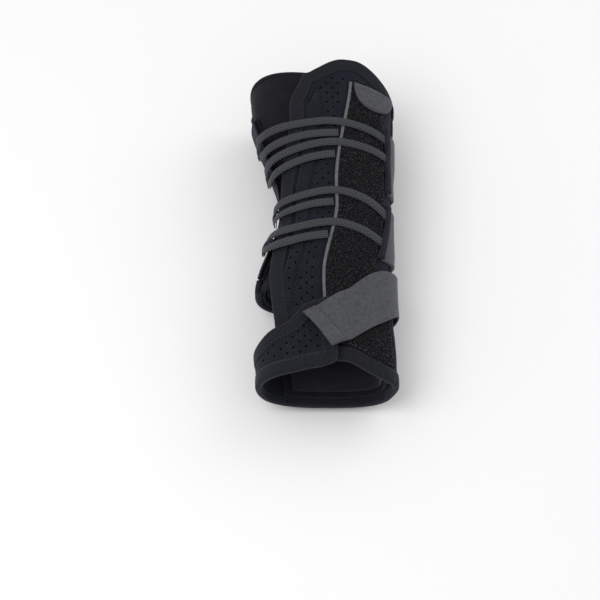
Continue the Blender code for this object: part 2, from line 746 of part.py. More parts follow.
def add_thumb_flap(root, laminate, binding):
    """Flap through the web of the thumb, from the palm's edge up on to the back of the hand."""
    flap = patch(
        "thumb_flap", laminate, root, (FLAP_TIP_ANGLE, FLAP_ROOT_ANGLE), (flap_far, flap_near), flap_bed,
        PANEL_THICKNESS, (18, 4),
    )
    trim = patch(
        "thumb_flap_binding", binding, root, (FLAP_TIP_ANGLE, FLAP_ROOT_ANGLE - 14),
        (lambda a: flap_near(a) - BINDING_WIDTH, flap_near),
        lambda a: flap_bed(a) + PANEL_THICKNESS + LAYER_GAP, BINDING_THICKNESS, (16, 1),
    )
    middle = (flap_near(FLAP_ROOT_ANGLE) + flap_far(FLAP_ROOT_ANGLE)) / 2
    pin = pin_at("thumb_flap_hinge", root, raised(FLAP_ROOT_ANGLE, middle, PANEL_TOP))
    hang_from(flap, pin)
    hang_from(trim, pin)


def set_down(root):
    """Centre the splint over the origin, standing on z = 0."""
    bpy.context.view_layer.update()
    corners = []
    for part in bpy.data.objects:
        if part.type == "MESH":
            corners += [part.matrix_world @ vertex.co for vertex in part.data.vertices]
    low = [min(corner[n] for corner in corners) for n in range(3)]
    high = [max(corner[n] for corner in corners) for n in range(3)]
    root.location = (-(low[0] + high[0]) / 2, -(low[1] + high[1]) / 2, -low[2])
    bpy.context.view_layer.update()


def main():
    for old in list(bpy.data.objects):
        bpy.data.objects.remove(old, do_unlink=True)
    root = bpy.data.objects.new("splint", None)
    bpy.context.scene.collection.objects.link(root)
    laminate = make_material("perforated_laminate", (0.013, 0.015, 0.023), 0.85)
    cloth = make_material("foam_backed_wrap", (0.012, 0.012, 0.014), 0.95)
    lining = make_material("brushed_lining", (0.02, 0.02, 0.023), 1.0)
    loop = make_material("loop_pile", (0.014, 0.014, 0.014), 0.95)
    binding = make_material("knit_binding", (0.015, 0.016, 0.02), 0.8)
    webbing = make_material("grey_webbing", (0.07, 0.07, 0.073), 0.75)
    braid = make_material("braided_lace", (0.045, 0.046, 0.05), 0.7)
    metal = make_material("aluminium_stay", (0.6, 0.61, 0.62), 0.35, 1.0)
    plastic = make_material("plastic_stay", (0.7, 0.7, 0.68), 0.5)
    add_wraps(root, cloth, lining)
    add_dorsal_panel(root, laminate, loop, webbing, binding)
    add_palmar_side(root, laminate, binding, loop)
    add_palmar_stay(root, metal, binding)
    add_dorsal_stay("dorsal_stay", root, plastic, 85, 91)
    add_dorsal_stay("ulnar_stay", root, plastic, 48, 57)
    add_lacing(root, braid, webbing)
    add_lace_strap("upper_lace_strap", root, webbing, (18, 60), (26, 50))
    add_lace_strap("lower_lace_strap", root, webbing, (-27, 9), (-20, 4))
    add_stay_tab(root, webbing)
    add_hand_strap(root, webbing)
    add_thumb_flap(root, laminate, binding)
    set_down(root)


main()
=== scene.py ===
"""Lace-up wrist splint: the finish of every layer, seam, lace and strap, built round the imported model."""

import math

import bmesh
import bpy
import numpy as np
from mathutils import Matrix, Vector


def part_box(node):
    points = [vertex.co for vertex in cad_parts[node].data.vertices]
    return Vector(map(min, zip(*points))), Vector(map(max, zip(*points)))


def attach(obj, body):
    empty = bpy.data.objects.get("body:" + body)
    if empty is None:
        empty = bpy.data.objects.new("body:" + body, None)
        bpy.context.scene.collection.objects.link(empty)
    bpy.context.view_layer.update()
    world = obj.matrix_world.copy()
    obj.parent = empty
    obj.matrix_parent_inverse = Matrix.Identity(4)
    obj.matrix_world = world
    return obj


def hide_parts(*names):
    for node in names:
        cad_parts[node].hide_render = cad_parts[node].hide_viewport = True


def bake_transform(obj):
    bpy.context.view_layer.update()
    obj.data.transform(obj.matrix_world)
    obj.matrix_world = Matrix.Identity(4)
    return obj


bl_info = {
    "name": "Lace-up wrist splint",
    "version": (1, 0, 0),
    "blender": (4, 5, 0),
    "location": "3D View > Sidebar > Splint",
    "description": "Builds the textile layers, lacing, straps and seams of a lace-up wrist splint",
    "category": "Add Mesh",
}

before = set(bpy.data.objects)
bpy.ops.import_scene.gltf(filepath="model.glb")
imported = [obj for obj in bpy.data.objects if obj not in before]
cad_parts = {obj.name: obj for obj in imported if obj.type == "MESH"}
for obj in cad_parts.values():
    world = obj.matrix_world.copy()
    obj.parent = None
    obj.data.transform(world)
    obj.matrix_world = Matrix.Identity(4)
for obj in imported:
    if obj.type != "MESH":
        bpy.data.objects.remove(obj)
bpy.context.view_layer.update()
MM = 0.001

# The limb that every layer is laid on: the same stations as the solids.
BODY_LENGTH = 203 * MM
PROXIMAL_Y = BODY_LENGTH / 2
DISTAL_Y = -BODY_LENGTH / 2
FOREARM_Y = PROXIMAL_Y - 11.5 * MM
HAND_Y = DISTAL_Y + 1.5 * MM
WIDTHS = [(FOREARM_Y, 71.5 * MM), (5 * MM, 56 * MM), (-40 * MM, 69.4 * MM), (HAND_Y, 67 * MM)]
SHIFTS = [(FOREARM_Y, 0.0), (5 * MM, 5 * MM), (-40 * MM, -2 * MM), (HAND_Y, 2 * MM)]
MIDDLE_SHIFT = 4.76 * MM  # SHIFTS at y = 0
WRIST_DEPTH = 41 * MM
DORSAL_SLOPE = 0.09
ROUNDNESS_SIDE = 2.6
ROUNDNESS_CHANGE = 0.5
RADIAL_FLARE = 8 * MM

# Layer heights above the foundation wrap's outer face.
LAYER_GAP = 0.5 * MM
WRAP_THICKNESS = 2.4 * MM
LINING_THICKNESS = 1.0 * MM
PANEL_THICKNESS = 2.4 * MM
LOOP_THICKNESS = 1.5 * MM
BINDING_WIDTH = 7 * MM
STAY_ROOM = 3.0 * MM
PANEL_TOP = LAYER_GAP + PANEL_THICKNESS
TRIM_BOTTOM = PANEL_TOP + LAYER_GAP
OVER_LOOP = TRIM_BOTTOM + LOOP_THICKNESS + LAYER_GAP
OVER_FLAP = OVER_LOOP + PANEL_THICKNESS + LAYER_GAP
WRAP_FLOOR = 1.2 * MM + 1.6 * MM + 1.2 * MM + TRIM_BOTTOM + 0.8 * MM

ULNAR_SEAM = 12.0
PALM_EDGE = 214.0
FLAP_TIP = 78.0
FLAP_ROOT = 210.0
ROOT = "splint"

SHIFT_X = sum(v.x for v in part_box("palmar_stay")) / 2 - MIDDLE_SHIFT
SHIFT_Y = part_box("palmar_stay")[1].y - 80 * MM


def ease(t):
    t = np.clip(t, 0.0, 1.0)
    return t * t * (3 - 2 * t)


def stations(points, at):
    """Values along a few (place, value) stations, level at each of them."""
    points = sorted(points)
    at = np.asarray(at, float)
    result = np.full(at.shape, float(points[0][1]))
    for (start, first), (end, last) in zip(points, points[1:]):
        result = np.where(at > start, first + (last - first) * ease((at - start) / (end - start)), result)
    return result


def flare(angle, y):
    """Extra reach on the thumb side, where the wrap opens out towards the elbow."""
    angle = angle % 360
    share = np.minimum(ease((angle - 105) / 50), ease((238 - angle) / 36))
    return RADIAL_FLARE * share * ease((y - 20 * MM) / (75 * MM))


def limb_point(angle, y):
    """Points on the wrap's outer face, for arrays of angles in degrees and of y."""
    angle, y = np.broadcast_arrays(np.asarray(angle, float), np.asarray(y, float))
    half_width = stations(WIDTHS, y) / 2
    half_depth = (WRIST_DEPTH + DORSAL_SLOPE * y) / 2
    turn = np.radians(angle)
    power = ROUNDNESS_SIDE - ROUNDNESS_CHANGE * np.sin(turn)
    radius = (np.abs(np.cos(turn) / half_width) ** power + np.abs(np.sin(turn) / half_depth) ** power) ** (-1 / power)
    radius = radius + flare(angle, y)
    x = stations(SHIFTS, y) + radius * np.cos(turn)
    z = WRAP_FLOOR + half_depth + radius * np.sin(turn)
    return np.stack([x + SHIFT_X, y + SHIFT_Y, z], -1)


def slopes(angle, y):
    step_angle = 0.05
    step_y = 0.05 * MM
    round_limb = (limb_point(angle + step_angle, y) - limb_point(angle - step_angle, y)) / (2 * step_angle)
    along_limb = (limb_point(angle, y + step_y) - limb_point(angle, y - step_y)) / (2 * step_y)
    return round_limb, along_limb


def normal_at(angle, y):
    round_limb, along_limb = slopes(angle, y)
    normal = np.cross(along_limb, round_limb)
    return normal / np.linalg.norm(normal, axis=-1, keepdims=True)


def rise(angle):
    """Extra height of the outer layers over the stays on the back of the limb."""
    angle = (np.asarray(angle, float) + 150) % 360 - 150
    return STAY_ROOM * np.minimum(ease((angle + 12) / 22), ease((174 - angle) / 24))


def lifted(angle, y, height):
    angle, y, height = np.broadcast_arrays(np.asarray(angle, float), np.asarray(y, float), np.asarray(height, float))
    return limb_point(angle, y) + normal_at(angle, y) * height[..., None]


def raised(angle, y, height):
    return lifted(angle, y, np.asarray(height) + rise(angle))


def girth_table():
    """Arc length round the limb from the dorsal crest, on a grid of y and angle."""
    ys = np.linspace(-0.12, 0.12, 49)
    angles = np.linspace(-170, 390, 561)
    points = lifted(angles[None, :], ys[:, None], 3 * MM)
    steps = np.linalg.norm(np.diff(points, axis=1), axis=2)
    arcs = np.concatenate([np.zeros((len(ys), 1)), np.cumsum(steps, axis=1)], axis=1)
    crest = int(np.argmin(np.abs(angles - 90)))
    return ys, angles, arcs - arcs[:, crest : crest + 1]


GIRTH_YS, GIRTH_ANGLES, GIRTH_ARCS = girth_table()


def girth(angle, y):
    """Arc length in metres of an angle from the crest at one y, for arrays."""
    angle, y = np.broadcast_arrays(np.asarray(angle, float), np.asarray(y, float))
    row = np.clip((y - GIRTH_YS[0]) / (GIRTH_YS[1] - GIRTH_YS[0]), 0, len(GIRTH_YS) - 1.001)
    column = np.clip(angle - GIRTH_ANGLES[0], 0, len(GIRTH_ANGLES) - 1.001)
    i, j = row.astype(int), column.astype(int)
    s, t = row - i, column - j
    low = GIRTH_ARCS[i, j] * (1 - t) + GIRTH_ARCS[i, j + 1] * t
    high = GIRTH_ARCS[i + 1, j] * (1 - t) + GIRTH_ARCS[i + 1, j + 1] * t
    return low * (1 - s) + high * s


def angle_for(arc, y):
    """Angle whose arc length from the crest is arc, at one y."""
    row = int(np.clip(round((y - GIRTH_YS[0]) / (GIRTH_YS[1] - GIRTH_YS[0])), 0, len(GIRTH_YS) - 1))
    return np.interp(arc, GIRTH_ARCS[row], GIRTH_ANGLES)


# Outlines of the pieces on the limb, as in the solids.


def dorsal_edge(y):
    return stations(
        [(PROXIMAL_Y - 9 * MM, 117), (70 * MM, 130), (5 * MM, 157), (-32 * MM, 152), (DISTAL_Y + 12 * MM, 152)], y
    )


def dorsal_proximal(angle):
    return PROXIMAL_Y - stations([(-12, 25 * MM), (56, 0), (66, 0), (120, 10 * MM)], angle)


def dorsal_distal(angle):
    return DISTAL_Y + stations([(12, 0), (60, 9 * MM), (150, 14 * MM)], angle)


def loop_seam(y):
    return stations([(PROXIMAL_Y - 12 * MM, 56), (15 * MM, 83), (DISTAL_Y, 86)], y)


def loop_ulnar(y):
    return stations([(-52 * MM, 14.5), (-34 * MM, 27)], y)


def loop_proximal(angle):
    return dorsal_proximal(angle) - 12 * MM


def loop_distal(angle):
    return dorsal_distal(angle) + BINDING_WIDTH + LAYER_GAP


def flap_near(angle):
    return stations([(75, -57 * MM), (112, -61 * MM), (150, -74 * MM), (172, -81 * MM), (205, -84 * MM)], angle)


def flap_far(angle):
    return DISTAL_Y + stations([(78, 6 * MM), (112, 3 * MM), (160, 0), (205, 0)], angle)


def flap_bed(angle):
    return LAYER_GAP + (OVER_LOOP - LAYER_GAP) * ease((FLAP_ROOT - np.asarray(angle, float)) / 42)


def strap_bed(angle):
    climb = ease((np.asarray(angle, float) - 48) / 24)
    return OVER_LOOP + (OVER_FLAP + 0.8 * MM + LAYER_GAP - OVER_LOOP) * climb


def palm_proximal(angle):
    return PROXIMAL_Y - 12 * MM - stations([(340, 0), (372, 6 * MM)], angle)


def palm_side(y):
    """Thumb side of the palmar panel, which meets the thumb flap's root at the hand end."""
    return stations([(-62 * MM, FLAP_ROOT + 0.7), (-44 * MM, PALM_EDGE)], y)


FLAP_END = -41 * MM


def radial_edge(y):
    return stations([(FLAP_END, 172), (-20 * MM, 165), (73 * MM, 167)], y)


def fn(value):
    return value if callable(value) else (lambda at: np.full(np.shape(at), float(value)))


# Meshes.


def build_mesh(name, points, faces, material, uvs=None, smooth=True):
    """Object of its own at the origin, with an optional UV map in metres called cloth."""
    mesh = bpy.data.meshes.new(name)
    mesh.from_pydata([tuple(p) for p in points], [], faces)
    if uvs is not None:
        layer = mesh.uv_layers.new(name="cloth")
        loops = np.zeros(len(mesh.loops), np.int32)
        mesh.loops.foreach_get("vertex_index", loops)
        layer.data.foreach_set("uv", np.asarray(uvs, np.float32)[loops].ravel())
    mesh.materials.append(material)
    if smooth:
        mesh.shade_smooth()
    mesh.update()
    piece = bpy.data.objects.new(name, mesh)
    bpy.context.scene.collection.objects.link(piece)
    return piece


def grid_faces(rows, columns, offset=0, flip=False, closed=False):
    faces = []
    for i in range(rows - 1):
        for j in range(columns if closed else columns - 1):
            n = (j + 1) % columns
            a, b = offset + i * columns + j, offset + i * columns + n
            c, d = offset + (i + 1) * columns + n, offset + (i + 1) * columns + j
            faces.append((a, d, c, b) if flip else (a, b, c, d))
    return faces


def outward(piece):
    """Turn all faces of a closed shell outwards."""
    shell = bmesh.new()
    shell.from_mesh(piece.data)
    bmesh.ops.recalc_face_normals(shell, faces=shell.faces)
    shell.to_mesh(piece.data)
    shell.free()
    return piece


def shares(count, edge, span):
    """Shares of a span with a few close rows at both ends, for soft rounded rims."""
    near = min(edge / max(span, 1e-6), 0.2)
    inner = np.linspace(near, 1 - near, count)
    return np.concatenate([[0, near * 0.3, near * 0.65], inner, [1 - near * 0.65, 1 - near * 0.3, 1]])


def unevenness(angle, y):
    """Slight waves that sewn foam and cloth settle into."""
    arc = girth(angle, y)
    long_wave = np.sin(arc / (6.3 * MM) + 1.4 * np.sin(y / (14 * MM))) * np.sin(y / (8.5 * MM) + 0.9 * np.sin(arc / (11 * MM)))
    short_wave = np.sin(arc / (2.9 * MM) + y / (5.2 * MM)) * np.sin(y / (3.7 * MM) - arc / (7.1 * MM))
    return 0.34 * MM * long_wave + 0.09 * MM * short_wave


def panel(name, material, angles, ys, bottom, thickness, cells, place=raised, relief=None, rim=1.2 * MM):
    """Layer of cloth over part of the limb, with softly rounded rims and an optional relief on its face."""
    side_a, side_b = fn(angles[0]), fn(angles[1])
    end_a, end_b = fn(ys[0]), fn(ys[1])
    middle = float((end_a(np.array(90.0)) + end_b(np.array(90.0))) / 2)
    width = abs(float(girth(side_b(np.array(middle)), middle) - girth(side_a(np.array(middle)), middle)))
    across = shares(cells[0], rim, width)
    along = shares(cells[1], rim, abs(float(end_b(np.array(90.0)) - end_a(np.array(90.0)))))

    def end_at(end):
        y = end((side_a(np.zeros_like(across)) + side_b(np.zeros_like(across))) / 2)
        for _ in range(8):
            y = end(side_a(y) + (side_b(y) - side_a(y)) * across)
        return y

    start, finish = end_at(end_a), end_at(end_b)
    y = start[None, :] + (finish - start)[None, :] * along[:, None]
    angle = side_a(y) + (side_b(y) - side_a(y)) * across[None, :]
    floor = fn(bottom)(angle)
    edge_u = np.minimum(across, across[::-1])[None, :] * width
    edge_v = np.minimum(along, along[::-1])[:, None] * np.abs(finish - start)[None, :]
    inset = np.clip(np.minimum(edge_u, edge_v) / rim, 0, 1)
    body = np.sqrt(1 - (1 - inset) ** 2)
    top = floor + thickness * (0.45 + 0.55 * body)
    base = floor + thickness * 0.25 * (1 - body)
    top = top + unevenness(angle, y) * body
    if relief is not None:
        top = top + relief(angle, y) * body
    rows, columns = angle.shape
    points = np.concatenate([place(angle, y, base).reshape(-1, 3), place(angle, y, top).reshape(-1, 3)])
    uv = np.stack([girth(angle, y), y], -1).reshape(-1, 2)
    faces = grid_faces(rows, columns, 0) + grid_faces(rows, columns, rows * columns, flip=True)
    count = rows * columns
    ring = [(0, j) for j in range(columns)] + [(i, columns - 1) for i in range(1, rows)]
    ring += [(rows - 1, j) for j in range(columns - 2, -1, -1)] + [(i, 0) for i in range(rows - 2, 0, -1)]
    ids = [i * columns + j for i, j in ring]
    for k, a in enumerate(ids):
        b = ids[(k + 1) % len(ids)]
        faces.append((a, a + count, b + count, b))
    return outward(build_mesh(name, points, faces, material, np.concatenate([uv, uv])))


def smooth_route(points, steps):
    """Points on a Catmull-Rom curve through (angle, y) points."""
    padded = np.array([points[0], *points, points[-1]], float)
    at = np.linspace(0, len(points) - 1, steps + 1)
    span = np.minimum(at.astype(int), len(points) - 2)
    t = (at - span)[:, None]
    a, b, c, d = (padded[span + n] for n in range(4))
    return 0.5 * (2 * b + (c - a) * t + (2 * a - 5 * b + 4 * c - d) * t**2 + (3 * b - a - 3 * c + d) * t**3)


def side_steps(route, distance, closed=False):
    """Angle and y at a distance square to a route, for a row of distances."""
    angle, y = route[:, 0], route[:, 1]
    places = limb_point(angle, y)
    heading = np.gradient(places, axis=0)
    if closed:
        heading = np.roll(places, -1, axis=0) - np.roll(places, 1, axis=0)
    round_limb, along_limb = slopes(angle, y)
    side = np.cross(normal_at(angle, y), heading)
    side /= np.linalg.norm(side, axis=1, keepdims=True)
    rr = (round_limb**2).sum(1)
    ra = (round_limb * along_limb).sum(1)
    aa = (along_limb**2).sum(1)
    sr = (side * round_limb).sum(1)
    sa = (side * along_limb).sum(1)
    determinant = rr * aa - ra * ra
    turn = (sr * aa - sa * ra) / determinant
    move = (sa * rr - sr * ra) / determinant
    return angle[:, None] + turn[:, None] * distance, y[:, None] + move[:, None] * distance


def sweep(name, material, route, section, bed, place=raised, closed=False):
    """Solid strip along a route. section is a closed list of (sideways, height) and bed the height under it."""
    section = np.asarray(section, float)
    angle, y = side_steps(route, section[None, :, 0], closed)
    height = fn(bed)(angle) + section[None, :, 1]
    points = place(angle, y, height)
    rows, columns = angle.shape
    runs = np.linalg.norm(np.diff(limb_point(route[:, 0], route[:, 1]), axis=0), axis=1)
    length = np.concatenate([[0], np.cumsum(runs)])
    across = np.broadcast_to(section[None, :, 0], (rows, columns))
    uv = np.stack([across, np.broadcast_to(length[:, None], (rows, columns))], -1).reshape(-1, 2)
    faces = grid_faces(rows, columns, closed=True)
    if closed:
        last = (rows - 1) * columns
        faces += [(last + j, last + (j + 1) % columns, (j + 1) % columns, j) for j in range(columns)]
    else:
        faces.append(tuple(range(columns)))
        faces.append(tuple((rows - 1) * columns + j for j in range(columns - 1, -1, -1)))
    return outward(build_mesh(name, points.reshape(-1, 3), faces, material, uv))


def flat_section(width, thickness, sides=8, edge=0.5):
    """Closed outline of a flat strap with rounded edges and points across its faces."""
    half = width / 2 - thickness * edge
    across = np.linspace(half, -half, sides)
    top = [(x, thickness) for x in across]
    left = [(-half - thickness * edge * math.sin(a), thickness / 2 + thickness / 2 * math.cos(a)) for a in (0.8, 1.57, 2.34)]
    bottom = [(x, 0.0) for x in across[::-1]]
    right = [(half + thickness * edge * math.sin(a), thickness / 2 - thickness / 2 * math.cos(a)) for a in (0.8, 1.57, 2.34)]
    return top + left + bottom + right


def binding_section(inner, outer, low, high, wrap=1.3 * MM):
    """Folded tape round an edge at 0: inner width on top, outer width below, between two heights."""
    skin = 0.75 * MM
    middle = (low + high) / 2
    half = (high - low) / 2 + skin
    top = [(x, high + skin - 0.25 * MM * (x / inner) ** 4 + 0.12 * MM * math.sin(x / inner * math.pi)) for x in np.linspace(inner, 0, 8)]
    nose = [(-wrap * math.sin(a), middle + half * math.cos(a)) for a in np.linspace(0.35, math.pi - 0.35, 7)]
    under = [(x, low - skin) for x in np.linspace(0, outer, 4)]
    back = [(outer, low), (0.2 * MM, low), (0.2 * MM, high), (inner, high)]
    return top + nose + under + back


# Geometry nodes.


def add_node(tree, kind, settings=None, **inputs):
    """One node, with its settings as attributes and its inputs as values or links."""
    node = tree.nodes.new(kind)
    for key, value in (settings or {}).items():
        setattr(node, key, value)
    for key, value in inputs.items():
        socket = node.inputs[int(key[1:])] if key[0] == "i" and key[1:].isdigit() else node.inputs[key.replace("_", " ")]
        if isinstance(value, bpy.types.NodeSocket):
            tree.links.new(value, socket)
        else:
            socket.default_value = value
    return node


def new_geometry_tree(name, inputs):
    tree = bpy.data.node_groups.new(name, "GeometryNodeTree")
    tree.interface.new_socket("Geometry", in_out="INPUT", socket_type="NodeSocketGeometry")
    for label, kind, value in inputs:
        socket = tree.interface.new_socket(label, in_out="INPUT", socket_type=kind)
        if value is not None:
            socket.default_value = value
    tree.interface.new_socket("Geometry", in_out="OUTPUT", socket_type="NodeSocketGeometry")
    return tree, tree.nodes.new("NodeGroupInput"), tree.nodes.new("NodeGroupOutput")


def stitch_tree():
    """Thread stitches: short capsules at even spacing along every spline."""
    tree, start, end = new_geometry_tree(
        "stitches",
        [("Spacing", "NodeSocketFloat", 3.0 * MM), ("Stitch length", "NodeSocketFloat", 2.2 * MM),
         ("Thread radius", "NodeSocketFloat", 0.24 * MM), ("Thread", "NodeSocketMaterial", None)],
    )
    points = add_node(tree, "GeometryNodeCurveToPoints", {"mode": "LENGTH"}, Curve=start.outputs["Geometry"], Length=start.outputs["Spacing"])
    ball = add_node(tree, "GeometryNodeMeshUVSphere", None, Segments=6, Rings=5, Radius=start.outputs["Thread radius"])
    ratio = add_node(tree, "ShaderNodeMath", {"operation": "DIVIDE"}, i0=start.outputs["Stitch length"], i1=start.outputs["Thread radius"])
    stretch = add_node(tree, "ShaderNodeMath", {"operation": "MULTIPLY"}, i0=ratio.outputs[0], i1=0.5)
    scale = add_node(tree, "ShaderNodeCombineXYZ", None, X=1.0, Y=1.0, Z=stretch.outputs[0])
    spin = add_node(tree, "FunctionNodeAlignRotationToVector", {"axis": "Z"}, Vector=points.outputs["Tangent"])
    placed = add_node(
        tree, "GeometryNodeInstanceOnPoints", None, Points=points.outputs["Points"], Instance=ball.outputs["Mesh"],
        Rotation=spin.outputs["Rotation"], Scale=scale.outputs[0],
    )
    real = add_node(tree, "GeometryNodeRealizeInstances", None, Geometry=placed.outputs[0])
    finish = add_node(tree, "GeometryNodeSetMaterial", None, Geometry=real.outputs[0], Material=start.outputs["Thread"])
    tree.links.new(finish.outputs[0], end.inputs[0])
    return tree


def perforation_tree():
    """Round holes through a panel at marked points, each square to the cloth."""
    tree, start, end = new_geometry_tree(
        "perforations",
        [("Marks", "NodeSocketObject", None), ("Hole radius", "NodeSocketFloat", 0.8 * MM),
         ("Hole depth", "NodeSocketFloat", 4.0 * MM), ("Cloth", "NodeSocketMaterial", None)],
    )
    marks = add_node(tree, "GeometryNodeObjectInfo", None, Object=start.outputs["Marks"])
    facing = add_node(tree, "GeometryNodeInputNamedAttribute", {"data_type": "FLOAT_VECTOR"}, Name="facing")
    spin = add_node(tree, "FunctionNodeAlignRotationToVector", {"axis": "Z"}, Vector=facing.outputs[0])
    punch = add_node(
        tree, "GeometryNodeMeshCylinder", None, Vertices=12, Radius=start.outputs["Hole radius"],
        Depth=start.outputs["Hole depth"],
    )
    placed = add_node(
        tree, "GeometryNodeInstanceOnPoints", None, Points=marks.outputs["Geometry"], Instance=punch.outputs["Mesh"],
        Rotation=spin.outputs["Rotation"],
    )
    real = add_node(tree, "GeometryNodeRealizeInstances", None, Geometry=placed.outputs[0])
    cut = add_node(tree, "GeometryNodeMeshBoolean", {"operation": "DIFFERENCE", "solver": "MANIFOLD"})
    tree.links.new(start.outputs["Geometry"], cut.inputs[0])
    tree.links.new(real.outputs[0], cut.inputs[1])
    finish = add_node(tree, "GeometryNodeSetMaterial", None, Geometry=cut.outputs[0], Material=start.outputs["Cloth"])
    tree.links.new(finish.outputs[0], end.inputs[0])
    return tree


def pile_tree():
    """Loop pile: small open loops scattered evenly over a facing, with a fixed seed."""
    tree, start, end = new_geometry_tree(
        "loop pile",
        [("Loops per square metre", "NodeSocketFloat", 1.1e6), ("Least spacing", "NodeSocketFloat", 0.62 * MM),
         ("Loop radius", "NodeSocketFloat", 0.5 * MM), ("Seed", "NodeSocketInt", 4), ("Pile", "NodeSocketMaterial", None)],
    )
    scatter = add_node(
        tree, "GeometryNodeDistributePointsOnFaces", {"distribute_method": "POISSON"}, Mesh=start.outputs["Geometry"],
        Distance_Min=start.outputs["Least spacing"], Density_Max=start.outputs["Loops per square metre"],
        Seed=start.outputs["Seed"],
    )
    arc = add_node(
        tree, "GeometryNodeCurveArc", None, Resolution=5, Radius=start.outputs["Loop radius"], Start_Angle=0.0,
        Sweep_Angle=math.pi,
    )
    upright = add_node(tree, "GeometryNodeTransform", None, Geometry=arc.outputs[0], Rotation=(math.pi / 2, 0.0, 0.0))
    thread = add_node(tree, "GeometryNodeCurvePrimitiveCircle", None, Resolution=3, Radius=0.13 * MM)
    loop = add_node(tree, "GeometryNodeCurveToMesh", None, Curve=upright.outputs[0], Profile_Curve=thread.outputs[0])
    whirl = add_node(
        tree, "FunctionNodeRandomValue", {"data_type": "FLOAT_VECTOR"}, i0=(-0.5, -0.5, 0.0), i1=(0.5, 0.5, 6.2),
        Seed=start.outputs["Seed"],
    )
    turned = add_node(
        tree, "FunctionNodeRotateRotation", {"rotation_space": "LOCAL"}, Rotation=scatter.outputs["Rotation"],
        Rotate_By=whirl.outputs[0],
    )
    size = add_node(tree, "FunctionNodeRandomValue", {"data_type": "FLOAT"}, i2=0.7, i3=1.35, Seed=11)
    placed = add_node(
        tree, "GeometryNodeInstanceOnPoints", None, Points=scatter.outputs["Points"], Instance=loop.outputs[0],
        Rotation=turned.outputs[0], Scale=size.outputs[1],
    )
    real = add_node(tree, "GeometryNodeRealizeInstances", None, Geometry=placed.outputs[0])
    finish = add_node(tree, "GeometryNodeSetMaterial", None, Geometry=real.outputs[0], Material=start.outputs["Pile"])
    tree.links.new(finish.outputs[0], end.inputs[0])
    return tree


TREES = {}


def geometry_tree(kind):
    makers = {"stitches": stitch_tree, "perforations": perforation_tree, "pile": pile_tree}
    if kind not in TREES:
        TREES[kind] = makers[kind]()
    return TREES[kind]


def grow(source, name, kind, **values):
    """Run a tree on an object with its inputs set, and return the result as a plain mesh object."""
    tree = geometry_tree(kind)
    modifier = source.modifiers.new(kind, "NODES")
    modifier.node_group = tree
    for item in tree.interface.items_tree:
        label = item.name.replace(" ", "_").lower()
        if item.item_type == "SOCKET" and item.in_out == "INPUT" and label in values:
            modifier[item.identifier] = values[label]
    bpy.context.view_layer.update()
    evaluated = source.evaluated_get(bpy.context.evaluated_depsgraph_get())
    mesh = bpy.data.meshes.new_from_object(evaluated)
    source.modifiers.remove(modifier)
    mesh.name = name
    if not mesh.polygons:
        raise RuntimeError(f"{name} came out empty")
    result = bpy.data.objects.new(name, mesh)
    bpy.context.scene.collection.objects.link(result)
    return result


def discard(*objects):
    for thing in objects:
        bpy.data.objects.remove(thing, do_unlink=True)


def hole_marks(inside, ys, arcs, pitch, height, place=raised):
    """Points in a staggered lattice, kept where inside(angle, y) says so, each with the cloth's facing."""
    angles, places = [], []
    for row, y in enumerate(np.arange(ys[0], ys[1], pitch / 2)):
        row_arcs = np.arange(arcs[0] + (row % 2) * pitch / 2, arcs[1], pitch)
        found = angle_for(row_arcs, y)
        keep = inside(found, np.full(found.shape, y))
        angles += list(found[keep])
        places += [y] * int(keep.sum())
    angles, places = np.array(angles), np.array(places)
    mesh = bpy.data.meshes.new("marks")
    mesh.from_pydata([tuple(p) for p in place(angles, places, height)], [], [])
    facing = mesh.attributes.new("facing", "FLOAT_VECTOR", "POINT")
    facing.data.foreach_set("vector", normal_at(angles, places).astype(np.float32).ravel())
    marks = bpy.data.objects.new("marks", mesh)
    bpy.context.scene.collection.objects.link(marks)
    return marks


def perforate(piece, marks, material):
    """Punch the marked holes through a panel."""
    sizes = bpy.context.scene.splint_sizes
    name = piece.name
    piece.name = name + "_blank"
    result = grow(piece, name, "perforations", marks=marks, hole_radius=sizes.hole_diameter / 2, cloth=material)
    discard(piece, marks)
    return result


def sew(name, routes, heights, material, place=raised, spacing=3.0 * MM):
    """Rows of stitches along routes of (angle, y) points at given heights, as one mesh."""
    curve = bpy.data.curves.new(name + "_lines", "CURVE")
    curve.dimensions = "3D"
    for route, height in zip(routes, heights):
        points = place(route[:, 0], route[:, 1], fn(height)(route[:, 0]))
        spline = curve.splines.new("POLY")
        spline.points.add(len(points) - 1)
        spline.points.foreach_set("co", np.c_[points, np.ones(len(points))].astype(np.float32).ravel())
    lines = bpy.data.objects.new(name + "_lines", curve)
    bpy.context.scene.collection.objects.link(lines)
    result = grow(lines, name, "stitches", spacing=spacing, stitch_length=spacing * 0.72, thread=material)
    discard(lines)
    result.data.shade_smooth()
    return result


# Materials.


def linear(hex_colour):
    """sRGB hex to linear RGBA."""
    channels = [int(hex_colour[k : k + 2], 16) / 255 for k in (1, 3, 5)]
    return (*[c / 12.92 if c <= 0.04045 else ((c + 0.055) / 1.055) ** 2.4 for c in channels], 1.0)


def new_cloth(name, roughness, specular=0.12, sheen=0.25, sheen_tint="#8A8F9C", sheen_roughness=0.5):
    """Start of a textile: matt, with the faint sheen of its fibres."""
    material = bpy.data.materials.new(name)
    material.use_nodes = True
    tree = material.node_tree
    shader = tree.nodes["Principled BSDF"]
    shader.inputs["Roughness"].default_value = roughness
    shader.inputs["Specular IOR Level"].default_value = specular
    shader.inputs["Sheen Weight"].default_value = sheen
    shader.inputs["Sheen Roughness"].default_value = sheen_roughness
    shader.inputs["Sheen Tint"].default_value = linear(sheen_tint)
    return material, tree, shader


